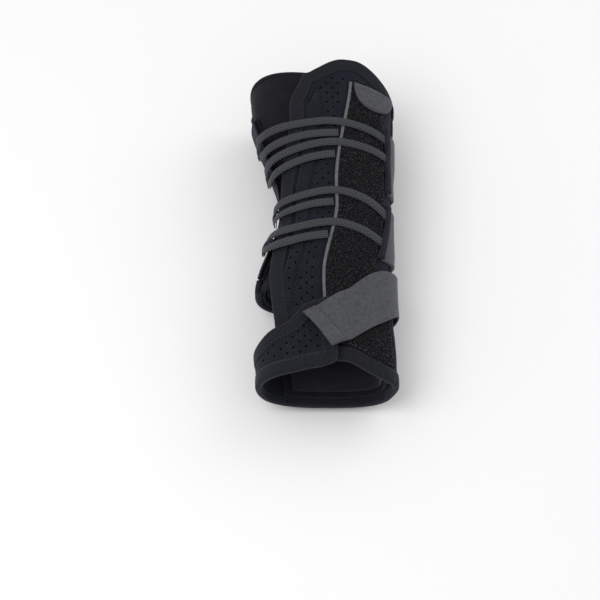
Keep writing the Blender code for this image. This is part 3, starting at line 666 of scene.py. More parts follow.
def coordinates(tree, kind, scale):
    """Coordinates in pattern repeats: scale is the repeat in metres along each axis."""
    if kind == "object":
        source = add_node(tree, "ShaderNodeTexCoord").outputs["Object"]
    else:
        source = add_node(tree, "ShaderNodeUVMap", {"uv_map": "cloth"}).outputs["UV"]
    return add_node(tree, "ShaderNodeMapping", None, Vector=source, Scale=tuple(1 / s for s in scale)).outputs[0]


def ramp(tree, factor, stops):
    node = add_node(tree, "ShaderNodeValToRGB", None, Fac=factor)
    elements = node.color_ramp.elements
    elements[0].position, elements[0].color = stops[0][0], linear(stops[0][1])
    elements[1].position, elements[1].color = stops[-1][0], linear(stops[-1][1])
    for place, colour in stops[1:-1]:
        elements.new(place).color = linear(colour)
    return node.outputs["Color"]


def bump(tree, shader, height, strength, distance):
    node = add_node(tree, "ShaderNodeBump", None, Height=height, Strength=strength, Distance=distance)
    tree.links.new(node.outputs[0], shader.inputs["Normal"])


def knit_material(name, dark, light, stitch=0.9 * MM, sheen=0.3):
    """Warp-knit face: fine ribs of loops in columns, softly mottled."""
    material, tree, shader = new_cloth(name, 0.9, sheen=sheen)
    repeat = coordinates(tree, "uv", (stitch, stitch, stitch))
    ribs = add_node(tree, "ShaderNodeTexWave", {"wave_type": "BANDS", "bands_direction": "X"}, Vector=repeat, Scale=0.314, Distortion=0.0)
    rows = add_node(tree, "ShaderNodeTexWave", {"wave_type": "BANDS", "bands_direction": "Y"}, Vector=repeat, Scale=0.42, Distortion=1.2)
    weave = add_node(tree, "ShaderNodeMath", {"operation": "MULTIPLY"}, i0=ribs.outputs["Fac"], i1=rows.outputs["Fac"])
    mottle_at = coordinates(tree, "object", (9 * MM, 9 * MM, 9 * MM))
    mottle = add_node(tree, "ShaderNodeTexNoise", None, Vector=mottle_at, Scale=1.0, Detail=5.0, Roughness=0.65)
    mix = add_node(tree, "ShaderNodeMath", {"operation": "MULTIPLY_ADD"}, i0=weave.outputs[0], i1=0.5, i2=mottle.outputs["Fac"])
    colour = ramp(tree, mix.outputs[0], [(0.35, dark), (1.0, light)])
    tree.links.new(colour, shader.inputs["Base Color"])
    bump(tree, shader, weave.outputs[0], 0.45, 0.25 * MM)
    return material


def perforated_laminate():
    """Foam laminate faced with fine warp knit: bluish black, faint ribs."""
    return knit_material("perforated laminate, warp-knit face", "#12141A", "#20232D")


def wrap_knit():
    """Smooth brushed knit over foam: deep matt black."""
    return knit_material("foam-backed wrap, brushed knit", "#131316", "#212126", stitch=0.7 * MM, sheen=0.2)


def binding_knit():
    """Folded elastic binding: fine cross ribs from its knitted elastane."""
    material, tree, shader = new_cloth("elastic binding, folded and sewn", 0.85, sheen=0.3)
    repeat = coordinates(tree, "uv", (0.8 * MM, 0.8 * MM, 0.8 * MM))
    ribs = add_node(tree, "ShaderNodeTexWave", {"wave_type": "BANDS", "bands_direction": "Y"}, Vector=repeat, Scale=0.314, Distortion=0.6)
    fibres_at = coordinates(tree, "object", (1.4 * MM, 1.4 * MM, 1.4 * MM))
    fibres = add_node(tree, "ShaderNodeTexNoise", None, Vector=fibres_at, Scale=1.0, Detail=6.0)
    mix = add_node(tree, "ShaderNodeMath", {"operation": "MULTIPLY"}, i0=ribs.outputs["Fac"], i1=fibres.outputs["Fac"])
    tree.links.new(ramp(tree, mix.outputs[0], [(0.1, "#141418"), (0.7, "#2C2E35")]), shader.inputs["Base Color"])
    bump(tree, shader, mix.outputs[0], 0.5, 0.2 * MM)
    return material


def loop_ground():
    """Knitted ground under the loop pile: nearly black between the loops."""
    material, tree, shader = new_cloth("loop-pile ground, knitted", 1.0, specular=0.05, sheen=0.1)
    repeat = coordinates(tree, "object", (0.9 * MM, 0.9 * MM, 0.9 * MM))
    cells = add_node(tree, "ShaderNodeTexVoronoi", None, Vector=repeat, Scale=1.0)
    tree.links.new(ramp(tree, cells.outputs["Distance"], [(0.1, "#1D1D1F"), (0.8, "#0C0C0D")]), shader.inputs["Base Color"])
    bump(tree, shader, cells.outputs["Distance"], 0.6, 0.3 * MM)
    return material


def loop_pile():
    """Brushed nylon loops: charcoal threads, with lighter specks painted in as highlights where loops catch the light.
    """
    material, tree, shader = new_cloth("brushed loop pile, nylon", 0.6, specular=0.35, sheen=0.2)
    # Painted highlights: the ramp's lighter specks stand for loops that catch the light.
    painted_glints_at = coordinates(tree, "object", (1.1 * MM, 1.1 * MM, 1.1 * MM))
    painted_glints = add_node(tree, "ShaderNodeTexNoise", None, Vector=painted_glints_at, Scale=1.0, Detail=3.0)
    tree.links.new(ramp(tree, painted_glints.outputs["Fac"], [(0.35, "#1C1C1E"), (0.6, "#363638"), (0.72, "#626264")]), shader.inputs["Base Color"])
    return material


def braided_polyester():
    """Flat braided lace: charcoal chevrons of yarn with lighter threads."""
    material, tree, shader = new_cloth("flat braid, polyester yarn", 0.7, specular=0.25, sheen=0.25)
    source = add_node(tree, "ShaderNodeUVMap", {"uv_map": "cloth"}).outputs["UV"]
    parts = add_node(tree, "ShaderNodeSeparateXYZ", None, Vector=source)
    fold = add_node(tree, "ShaderNodeMath", {"operation": "ABSOLUTE"}, i0=parts.outputs["X"])
    slant = add_node(tree, "ShaderNodeMath", {"operation": "MULTIPLY_ADD"}, i0=fold.outputs[0], i1=1.1, i2=parts.outputs["Y"])
    turns = add_node(tree, "ShaderNodeMath", {"operation": "MULTIPLY"}, i0=slant.outputs[0], i1=2 * math.pi / (1.25 * MM))
    wave = add_node(tree, "ShaderNodeMath", {"operation": "SINE"}, i0=turns.outputs[0])
    columns = add_node(tree, "ShaderNodeMath", {"operation": "MULTIPLY"}, i0=fold.outputs[0], i1=2 * math.pi / (1.2 * MM))
    ribs = add_node(tree, "ShaderNodeMath", {"operation": "COSINE"}, i0=columns.outputs[0])
    both = add_node(tree, "ShaderNodeMath", {"operation": "MULTIPLY_ADD"}, i0=ribs.outputs[0], i1=0.45, i2=wave.outputs[0])
    share = add_node(tree, "ShaderNodeMapRange", None, Value=both.outputs[0], From_Min=-1.4, From_Max=1.4)
    tree.links.new(ramp(tree, share.outputs[0], [(0.2, "#1D1E20"), (0.6, "#343538"), (0.95, "#5C5E62")]), shader.inputs["Base Color"])
    bump(tree, shader, share.outputs[0], 0.8, 0.3 * MM)
    return material


def woven_webbing(name, dark, light, rib=1.05 * MM):
    """Smooth woven elastic: weft ribs across, dyed grey."""
    material, tree, shader = new_cloth(name, 0.65, specular=0.3, sheen=0.2, sheen_tint="#B9BBC0")
    repeat = coordinates(tree, "uv", (rib, rib, rib))
    warp = add_node(tree, "ShaderNodeTexWave", {"wave_type": "BANDS", "bands_direction": "X"}, Vector=repeat, Scale=0.314)
    weft = add_node(tree, "ShaderNodeTexWave", {"wave_type": "BANDS", "bands_direction": "Y"}, Vector=repeat, Scale=0.62, Distortion=0.4)
    weave = add_node(tree, "ShaderNodeMath", {"operation": "MULTIPLY_ADD"}, i0=warp.outputs["Fac"], i1=0.6, i2=weft.outputs["Fac"])
    fibres_at = coordinates(tree, "object", (2.5 * MM, 2.5 * MM, 2.5 * MM))
    fibres = add_node(tree, "ShaderNodeTexNoise", None, Vector=fibres_at, Scale=1.0, Detail=6.0)
    mix = add_node(tree, "ShaderNodeMath", {"operation": "MULTIPLY_ADD"}, i0=weave.outputs[0], i1=0.35, i2=fibres.outputs["Fac"])
    tree.links.new(ramp(tree, mix.outputs[0], [(0.4, dark), (1.0, light)]), shader.inputs["Base Color"])
    bump(tree, shader, weave.outputs[0], 0.3, 0.12 * MM)
    return material


def sewing_thread(name, colour, shade):
    """Bonded polyester thread."""
    material, tree, shader = new_cloth(name, 0.55, specular=0.35)
    twist = add_node(tree, "ShaderNodeTexNoise", None, Vector=coordinates(tree, "object", (0.5 * MM,) * 3), Scale=1.0)
    tree.links.new(ramp(tree, twist.outputs["Fac"], [(0.35, shade), (0.65, colour)]), shader.inputs["Base Color"])
    return material


def brushed_aluminium():
    """Rolled aluminium strip, satin with fine lengthwise brushing."""
    material, tree, shader = new_cloth("rolled aluminium, satin", 0.38, specular=0.5, sheen=0.0)
    shader.inputs["Metallic"].default_value = 1.0
    lines_at = coordinates(tree, "object", (0.4 * MM, 30 * MM, 0.4 * MM))
    lines = add_node(tree, "ShaderNodeTexNoise", None, Vector=lines_at, Scale=1.0, Detail=4.0)
    tree.links.new(ramp(tree, lines.outputs["Fac"], [(0.3, "#B4B7BA"), (0.7, "#D2D4D6")]), shader.inputs["Base Color"])
    bump(tree, shader, lines.outputs["Fac"], 0.15, 0.05 * MM)
    return material


def moulded_plastic():
    """Extruded polypropylene strip, milky and slightly waxy."""
    material, tree, shader = new_cloth("polypropylene stay, extruded", 0.45, specular=0.5, sheen=0.0)
    haze = add_node(tree, "ShaderNodeTexNoise", None, Vector=coordinates(tree, "object", (6 * MM,) * 3), Scale=1.0)
    tree.links.new(ramp(tree, haze.outputs["Fac"], [(0.3, "#D3D3CC"), (0.7, "#E2E2DC")]), shader.inputs["Base Color"])
    return material


MATERIAL_MAKERS = {
    "laminate": perforated_laminate,
    "wrap": wrap_knit,
    "lining": lambda: knit_material("brushed tricot lining", "#1B1B1F", "#2E2E34", stitch=1.2 * MM, sheen=0.5),
    "binding": binding_knit,
    "ground": loop_ground,
    "pile": loop_pile,
    "braid": braided_polyester,
    "webbing": lambda: woven_webbing("woven elastic webbing, grey", "#303134", "#4D4E52"),
    "tape": lambda: woven_webbing("seam tape, light grey weave", "#4A4B4E", "#66676B", rib=0.7 * MM),
    "thread": lambda: sewing_thread("bonded thread, charcoal", "#2A2B2F", "#18191C"),
    "pale_thread": lambda: sewing_thread("bonded thread, grey", "#6A6B70", "#46474B"),
    "aluminium": brushed_aluminium,
    "plastic": moulded_plastic,
}
MATERIALS = {}


def material(kind):
    if kind not in MATERIALS:
        MATERIALS[kind] = MATERIAL_MAKERS[kind]()
    return MATERIALS[kind]


def settle(piece, body, slot, *nodes):
    """Put a finished piece on its body and hide the solids that it stands for; the slot argument is not used."""
    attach(piece, body)
    if nodes:
        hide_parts(*nodes)
    return piece


def column(angle, y_start, y_end, count=60):
    """Route along the limb at an angle, or at a function of y."""
    ys = np.linspace(y_start, y_end, count)
    return np.stack([fn(angle)(ys), ys], -1)


def circle_round(y, angle_start, angle_end, count=60):
    """Route round the limb at a y, or at a function of the angle."""
    angles = np.linspace(angle_start, angle_end, count)
    return np.stack([angles, fn(y)(angles)], -1)


def inset_route(route, distance):
    angle, y = side_steps(route, np.array([[distance]]))
    return np.stack([angle[:, 0], y[:, 0]], -1)


# Settings that a user would change.


class SplintSizes(bpy.types.PropertyGroup):
    hole_diameter: bpy.props.FloatProperty(
        name="Hole diameter", description="Diameter of a perforation", default=1.7 * MM, unit="LENGTH"
    )
    hole_pitch: bpy.props.FloatProperty(
        name="Hole pitch", description="Spacing of the perforations in a row", default=6.4 * MM, unit="LENGTH"
    )
    lace_width: bpy.props.FloatProperty(
        name="Lace width", description="Width of the flat braided lace", default=4.8 * MM, unit="LENGTH"
    )
    lace_thickness: bpy.props.FloatProperty(
        name="Lace thickness", description="Thickness of the flat braided lace", default=1.4 * MM, unit="LENGTH"
    )
    strap_width: bpy.props.FloatProperty(
        name="Strap width", description="Width of the hand strap's webbing", default=25.4 * MM, unit="LENGTH"
    )
    webbing_thickness: bpy.props.FloatProperty(
        name="Webbing thickness", description="Thickness of the straps", default=1.4 * MM, unit="LENGTH"
    )


class SplintLight(bpy.types.PropertyGroup):
    floor_colour: bpy.props.FloatVectorProperty(
        name="Floor colour", description="Colour of the plain floor", subtype="COLOR", default=(0.97, 0.97, 0.97)
    )
    key_power: bpy.props.FloatProperty(
        name="Key light", description="Power of the large soft lamp", default=6.5, unit="POWER"
    )
    world_level: bpy.props.FloatProperty(
        name="World light", description="Strength of the even surrounding light", default=0.62
    )


def stay_channel(angle, y):
    """Relief of the dorsal panel: a raised stay channel between two stitched valleys."""
    middle = channel_middle(y)
    arc = girth(angle, y) - girth(middle, y)
    half = channel_half(y)
    inside = ease((half - np.abs(arc)) / (2.2 * MM)) * ease((y + 62 * MM) / (6 * MM)) * ease((84 * MM - y) / (6 * MM))
    valley = np.exp(-(((np.abs(arc) - half) / (0.8 * MM)) ** 2)) * ((y > -60 * MM) & (y < 82 * MM))
    puff = 0.35 * MM * np.sin(arc / (6.5 * MM)) * np.sin(y / (11 * MM))
    return 0.9 * MM * inside - 1.3 * MM * valley + puff * 0.35


def channel_middle(y):
    """Angle of the stay channel's middle line."""
    return stations([(84 * MM, 98.4), (66 * MM, 107), (41 * MM, 118.5), (10 * MM, 131), (-23 * MM, 130.5), (-60 * MM, 142)], y)


def channel_half(y):
    """Half width of the stay channel, which closes to a point at the elbow end."""
    return 4.3 * MM * ease((86 * MM - np.asarray(y, float)) / (20 * MM)) + 0.2 * MM


class SPLINT_OT_wrap(bpy.types.Operator):
    """Foundation wrap, its lobe and rolled edge, the linings and the pad under the back of the hand"""

    bl_idname = "splint.wrap"
    bl_label = "Foundation wrap"

    def execute(self, context):
        top = PROXIMAL_Y - 6.5 * MM
        end = -41 * MM
        cloth = material("wrap")
        wrap = panel("forearm_wrap_cloth", cloth, (38.0, 371.0), (end, top), -WRAP_THICKNESS, WRAP_THICKNESS, (120, 44), lifted)
        settle(wrap, ROOT, "wrap_fabric", "forearm_wrap")
        hand = panel("hand_wrap_cloth", cloth, (FLAP_ROOT - 4, 371.0), (DISTAL_Y + 3 * MM, end - LAYER_GAP), -WRAP_THICKNESS, WRAP_THICKNESS, (60, 20), lifted)
        settle(hand, ROOT, "wrap_fabric", "hand_wrap")
        pad = panel(
            "dorsal_hand_pad_cloth", cloth, (ULNAR_SEAM + 4, 148.0), (lambda a: dorsal_distal(a) + 3 * MM, end - LAYER_GAP),
            -WRAP_THICKNESS, WRAP_THICKNESS, (50, 20), lifted,
        )
        settle(pad, ROOT, "wrap_fabric", "dorsal_hand_pad")
        deep = -WRAP_THICKNESS - 0.8 * MM - LINING_THICKNESS
        for name, sides, ys, node in (
            ("forearm_lining_knit", (38.0, 371.0), (end + 3 * MM, top - 3 * MM), "forearm_lining"),
            ("hand_lining_knit", (FLAP_ROOT + 4, 371.0), (DISTAL_Y + 6 * MM, end - 3.5 * MM), "hand_lining"),
        ):
            lining = panel(name, material("lining"), sides, ys, deep, LINING_THICKNESS, (110, 40), lifted)
            settle(lining, ROOT, "brushed_lining", node)
        roll = sweep(
            "wrap_rolled_edge", cloth, circle_round(top, 60, 204, 90), round_section(1.9 * MM, 1.9 * MM), -1.2 * MM, lifted
        )
        settle(roll, ROOT, "wrap_fabric", "wrap_edge_roll")
        return {"FINISHED"}


def round_section(half_width, half_height, sides=12):
    return [(half_width * math.cos(2 * math.pi * k / sides), half_height * math.sin(2 * math.pi * k / sides)) for k in range(sides)]


class SPLINT_OT_dorsal_panel(bpy.types.Operator):
    """Perforated dorsal panel with its raised stay channel, bindings and seams"""

    bl_idname = "splint.dorsal_panel"
    bl_label = "Dorsal panel"

    def execute(self, context):
        pitch = context.scene.splint_sizes.hole_pitch
        blank = panel(
            "dorsal_panel_cloth", material("laminate"), (ULNAR_SEAM, dorsal_edge), (dorsal_distal, dorsal_proximal),
            LAYER_GAP, PANEL_THICKNESS, (190, 130), relief=stay_channel,
        )

        def open_field(angle, y):
            arc = girth(angle, y)
            left = girth(dorsal_edge(y), y) - 8.5 * MM
            right = girth(loop_seam(y) + 5, y) + 2.5 * MM
            top = y < dorsal_proximal(angle) - 9.5 * MM
            channel_gap = np.abs(arc - girth(channel_middle(y), y))
            upper = channel_gap > channel_half(y) + 1.2 * MM
            lower = (y < -2 * MM) & (channel_gap < 2.6 * MM)
            corner = (angle < loop_seam(y) + 2) & (y > loop_proximal(angle) + 2 * MM) & (angle > 36)
            return ((arc < left) & (arc > right) & top & (upper | lower) & (y > -84 * MM)) | (corner & top)

        marks = hole_marks(open_field, (-84 * MM, 98 * MM), (-30 * MM, 60 * MM), pitch, PANEL_TOP - 0.6 * MM)
        settle(perforate(blank, marks, material("laminate")), ROOT, "perforated_laminate", "dorsal_panel")
        section = binding_section(BINDING_WIDTH, 4 * MM, LAYER_GAP, PANEL_TOP)
        arch = circle_round(dorsal_proximal, ULNAR_SEAM, 117.5, 110)
        side = column(dorsal_edge, PROXIMAL_Y - 10.5 * MM, -74 * MM, 150)[1:]
        rim = np.concatenate([arch, side])
        rim = rim[np.r_[True, np.abs(np.diff(rim, axis=0)).sum(1) > 1e-6]]
        rim = round_off(rim, 8)
        edge = sweep("dorsal_rim_binding", material("binding"), rim, section, 0.0)
        settle(edge, ROOT, "knit_binding", "proximal_binding", "radial_binding")
        hem = circle_round(dorsal_distal, 148, ULNAR_SEAM, 90)
        hem_binding = sweep("dorsal_hem_binding", material("binding"), hem, section, 0.0)
        settle(hem_binding, ROOT, "knit_binding", "distal_binding")
        top = PANEL_TOP + 0.6 * MM
        routes = [inset_route(rim, 6 * MM), inset_route(hem, 6 * MM)]
        seams = sew("dorsal_binding_stitches", routes, [top, top], material("thread"), spacing=2.6 * MM)
        settle(seams, ROOT, "knit_binding")
        ys = np.linspace(-58 * MM, 83 * MM, 80)
        lines = []
        for side_sign in (-1, 1):
            arcs = girth(channel_middle(ys), ys) + side_sign * channel_half(ys)
            lines.append(np.stack([[angle_for(a, y) for a, y in zip(arcs, ys)], ys], -1))
        for y_mark, half in ((84 * MM, 2.2 * MM), (79 * MM, 2.6 * MM), (-46 * MM, 4.2 * MM)):
            middle = float(girth(channel_middle(np.array(y_mark)), y_mark))
            arcs = np.linspace(middle - half, middle + half, 12)
            lines.append(np.stack([angle_for(arcs, y_mark), np.full(12, y_mark)], -1))
        channel = sew("stay_channel_stitches", lines, [PANEL_TOP - 0.8 * MM] * len(lines), material("thread"), spacing=2.4 * MM)
        settle(channel, ROOT, "perforated_laminate")
        return {"FINISHED"}


def round_off(route, times):
    """Soften the corners of a route by repeated averaging, with its ends kept."""
    route = route.copy()
    for _ in range(times):
        route[1:-1] = (route[:-2] + 2 * route[1:-1] + route[2:]) / 4
    return route


class SPLINT_OT_loop_panel(bpy.types.Operator):
    """Loop-pile facing with its light seam tape, and the palmar patch that the lace straps grip"""

    bl_idname = "splint.loop_panel"
    bl_label = "Loop-pile facings"

    def execute(self, context):
        fields = (
            ("loop_panel", (loop_ulnar, loop_seam), (loop_distal, loop_proximal), (60, 110), 3),
            ("palmar_loop_patch", (316.0, 344.0), (-24 * MM, 56 * MM), (30, 50), 8),
        )
        for name, sides, ys, cells, seed in fields:
            ground = panel(name + "_ground", material("ground"), sides, ys, TRIM_BOTTOM - 0.2 * MM, 1.1 * MM, cells, rim=0.8 * MM)
            settle(ground, ROOT, "loop_pile", name)
            bed = panel(name + "_bed", material("ground"), sides, ys, TRIM_BOTTOM + 0.4 * MM, 0.25 * MM, cells, rim=0.2 * MM)
            keep_faces_above(bed, cells)
            pile = grow(bed, name + "_pile", "pile", seed=seed, pile=material("pile"))
            discard(bed)
            pile.data.shade_smooth()
            settle(pile, ROOT, "loop_pile")
        seam = column(lambda y: loop_seam(y) + 2.2, -84 * MM, 86.5 * MM, 140)
        tape = sweep("loop_panel_seam_tape", material("tape"), seam, flat_section(1.7 * MM, 0.9 * MM, 5), TRIM_BOTTOM + 0.35 * MM)
        settle(tape, ROOT, "grey_webbing", "loop_panel_edge")
        upper = TRIM_BOTTOM + 1.0 * MM
        routes = [
            column(lambda y: loop_seam(y) + 1.0, -82 * MM, 84 * MM, 90),
            column(lambda y: loop_ulnar(y) + 1.5, -88 * MM, 76 * MM, 90),
            circle_round(lambda a: loop_proximal(a) - 1.2 * MM, 30, 54, 30),
            circle_round(lambda a: loop_distal(a) + 1.2 * MM, 16, 80, 40),
        ]
        seams = sew("loop_panel_stitches", routes, [upper] * 4, material("thread"), spacing=2.6 * MM)
        settle(seams, ROOT, "loop_pile")
        return {"FINISHED"}


def keep_faces_above(piece, cells):
    """Keep only the outer face of a panel, as the bed that loops grow from."""
    shell = bmesh.new()
    shell.from_mesh(piece.data)
    columns = cells[0] + 6
    rows = cells[1] + 6
    shell.verts.ensure_lookup_table()
    low = [v for v in shell.verts if v.index < rows * columns]
    bmesh.ops.delete(shell, geom=low, context="VERTS")
    shell.to_mesh(piece.data)
    shell.free()


class SPLINT_OT_palmar_side(bpy.types.Operator):
    """Palmar panel, thumb-side lacing flap and their bindings"""

    bl_idname = "splint.palmar_side"
    bl_label = "Palmar side"

    def execute(self, context):
        pitch = context.scene.splint_sizes.hole_pitch
        cloth = material("laminate")
        palm_end = 360 + ULNAR_SEAM - 0.15
        blank = panel("palmar_panel_cloth", cloth, (palm_side, palm_end), (DISTAL_Y, palm_proximal), LAYER_GAP, PANEL_THICKNESS, (110, 120))
        inside = lambda a, y: (a > PALM_EDGE + 9) & (a < palm_end - 8) & (y > DISTAL_Y + 9 * MM) & (y < PROXIMAL_Y - 28 * MM)
        marks = hole_marks(inside, (-90 * MM, 80 * MM), (45 * MM, 175 * MM), pitch, PANEL_TOP - 0.6 * MM)
        settle(perforate(blank, marks, cloth), ROOT, "perforated_laminate", "palmar_panel")
        flap = panel("radial_flap_cloth", cloth, (radial_edge, PALM_EDGE - 0.8), (FLAP_END, 73 * MM), LAYER_GAP, PANEL_THICKNESS, (40, 90))
        inside = lambda a, y: (a > radial_edge(y) + 8) & (a < PALM_EDGE - 5) & (y > FLAP_END + 9 * MM) & (y < 68 * MM)
        marks = hole_marks(inside, (-34 * MM, 70 * MM), (30 * MM, 75 * MM), pitch, PANEL_TOP - 0.6 * MM)
        settle(perforate(flap, marks, cloth), ROOT, "perforated_laminate", "radial_flap")
        section = binding_section(BINDING_WIDTH, 4 * MM, LAYER_GAP, PANEL_TOP)
        narrow = binding_section(3.2 * MM, 3 * MM, LAYER_GAP, PANEL_TOP)
        edges = (
            ("palmar_hem_binding", circle_round(DISTAL_Y, palm_end, FLAP_ROOT + 0.7, 110), section, "palmar_distal_binding"),
            ("palmar_rim_binding", circle_round(palm_proximal, PALM_EDGE, palm_end, 110), section, "palmar_proximal_binding"),
            ("radial_flap_edge_binding", column(radial_edge, 73 * MM, FLAP_END + 7 * MM, 100), narrow, "radial_flap_binding"),
            ("thumb_opening_edge_binding", circle_round(FLAP_END, PALM_EDGE - 1, 172, 50), section, "thumb_opening_binding"),
        )
        for name, route, outline, node in edges:
            settle(sweep(name, material("binding"), route, outline, 0.0), ROOT, "knit_binding", node)
        top = PANEL_TOP + 0.6 * MM
        routes = [inset_route(route, 6 * MM if outline is section else 2.6 * MM) for _, route, outline, _ in edges]
        settle(sew("palmar_binding_stitches", routes, [top] * 4, material("thread")), ROOT, "knit_binding")
        return {"FINISHED"}


# Each lace: y in millimetres of the sewn run at the seam and at the guide, then of the return run at the
# guide, at the seam and at the little-finger side, and the angle of the turn.
LACES = (
    (50.5, 47, 55.6, 58.5, 52, 163),
    (36.5, 30, 38.6, 44.5, 40, 167),
    (5, 0, 8.6, 12.5, 1, 163),
    (-16, -22.6, -14, -8, -17, 161),
)


def lace_route(sewn_seam, sewn_turn, back_turn, back_seam, back_end, turn_angle, steps=260):
    seam = float(loop_seam(np.array(sewn_seam * MM))) + 7
    bend = 2.6
    points = [(seam, sewn_seam), (seam + (turn_angle - seam) * 0.5, (sewn_seam + sewn_turn) / 2 + 1.2)]
    points += [(turn_angle - 3 * bend, sewn_turn + 0.2), (turn_angle - bend, sewn_turn)]
    points += [(turn_angle, sewn_turn + 2.2), (turn_angle, back_turn - 2.2), (turn_angle - bend, back_turn)]
    points += [(turn_angle - 3 * bend, back_turn + 0.4), (125, (back_turn + 2 * back_seam) / 3)]
    points += [(85, back_seam), (50, (back_seam * 2 + back_end) / 3), (24.0, back_end)]
    return smooth_route([(angle, y * MM) for angle, y in points], steps)


def lace_bed(angle):
    return OVER_LOOP - 0.7 * MM + 1.2 * MM * ease((np.asarray(angle, float) - 128) / 24)


class SPLINT_OT_laces(bpy.types.Operator):
    """Four doubled laces of flat braid and the webbing loops that turn them"""

    bl_idname = "splint.laces"
    bl_label = "Laces and guides"

    def execute(self, context):
        sizes = context.scene.splint_sizes
        half, depth = sizes.lace_width / 2, sizes.lace_thickness / 2
        section = [(x, z + depth) for x, z in superellipse(half, depth, 2.6, 18)]
        for number, lace in enumerate(LACES, start=1):
            route = lace_route(*lace)
            piece = sweep(f"lace_{number}_braid", material("braid"), route, section, lace_bed)
            settle(piece, ROOT, "braided_lace", f"lace_{number}")
            turn_y = (lace[1] + lace[2]) / 2 * MM
            guide = guide_loop(f"lace_guide_{number}_webbing", lace[5], turn_y, sizes)
            settle(guide, ROOT, "knit_binding", f"lace_guide_{number}")
        return {"FINISHED"}


def superellipse(half_width, half_height, power, sides):
    points = []
    for k in range(sides):
        turn = 2 * math.pi * k / sides
        c, s = math.cos(turn), math.sin(turn)
        radius = (abs(c) ** power + abs(s) ** power) ** (-1 / power)
        points.append((half_width * radius * c, half_height * radius * s))
    return points


def guide_loop(name, turn_angle, y, sizes):
    """Webbing loop folded over a lace's turn, its two leaves meeting on the flap."""
    per_metre = 1 / np.linalg.norm(slopes(np.array(turn_angle), np.array(y))[0])
    half = (sizes.lace_width / 2 + 0.6 * MM) * per_metre
    bed = float(lace_bed(turn_angle))
    low, high = bed - 0.6 * MM, bed + sizes.lace_thickness + 0.25 * MM
    nose = turn_angle - half
    tail = turn_angle + 7 * MM * per_metre
    turns = np.linspace(-math.pi / 2, math.pi / 2, 9)
    middle, reach = (low + high) / 2, (high - low) / 2
    line = [(a, low) for a in np.linspace(tail, nose, 12)]
    line += [(nose - reach * per_metre * math.cos(t), middle + reach * math.sin(t)) for t in turns[1:-1]]
    line += [(a, high - (high - low - 0.9 * MM) * float(ease((a - turn_angle) / (tail - turn_angle)))) for a in np.linspace(nose, tail, 14)]
    line = np.array(line)
    return fold_strip(name, material("binding"), line, y, 2.9 * MM, 0.55 * MM, per_metre)


def fold_strip(name, cloth, line, y, width, thickness, per_metre):
    """Strip folded in the plane across the limb: line is its course as (angle, height)."""
    flat = np.stack([line[:, 0] / per_metre, line[:, 1]], -1)
    heading = np.gradient(flat, axis=0)
    heading /= np.linalg.norm(heading, axis=1, keepdims=True)
    square = np.stack([-heading[:, 1], heading[:, 0]], -1) * thickness / 2
    points, rows = [], len(line)
    for side, lift in ((-1, -1), (-0.6, -1), (0.6, -1), (1, -1), (1, 1), (0.6, 1), (-0.6, 1), (-1, 1)):
        thin = 0.55 if abs(side) == 1 else 1.0
        course = flat + square * lift * thin
        points.append(raised(course[:, 0] * per_metre, np.full(rows, y + side * width / 2), course[:, 1]))
    points = np.stack(points, 1)
    faces = grid_faces(rows, 8, closed=True) + [tuple(range(8)), tuple((rows - 1) * 8 + j for j in range(7, -1, -1))]
    run = np.concatenate([[0], np.cumsum(np.linalg.norm(np.diff(flat, axis=0), axis=1))])
    uv = np.stack([np.tile(np.linspace(0, width, 8), rows), np.repeat(run, 8)], -1)
    return outward(build_mesh(name, points.reshape(-1, 3), faces, cloth, uv))


STRAP_ROUTE = [(-31, -49 * MM), (-14, -48 * MM), (12, -46 * MM), (40, -61 * MM), (76, -72.5 * MM), (104, -78 * MM)]


def whole_strap_bed(angle):
    """Height under the hand strap, from its sewn root on the palm to the tab on the thumb flap."""
    angle = np.asarray(angle, float)
    return TRIM_BOTTOM + (strap_bed(angle) - TRIM_BOTTOM) * ease((angle + 12) / 16)


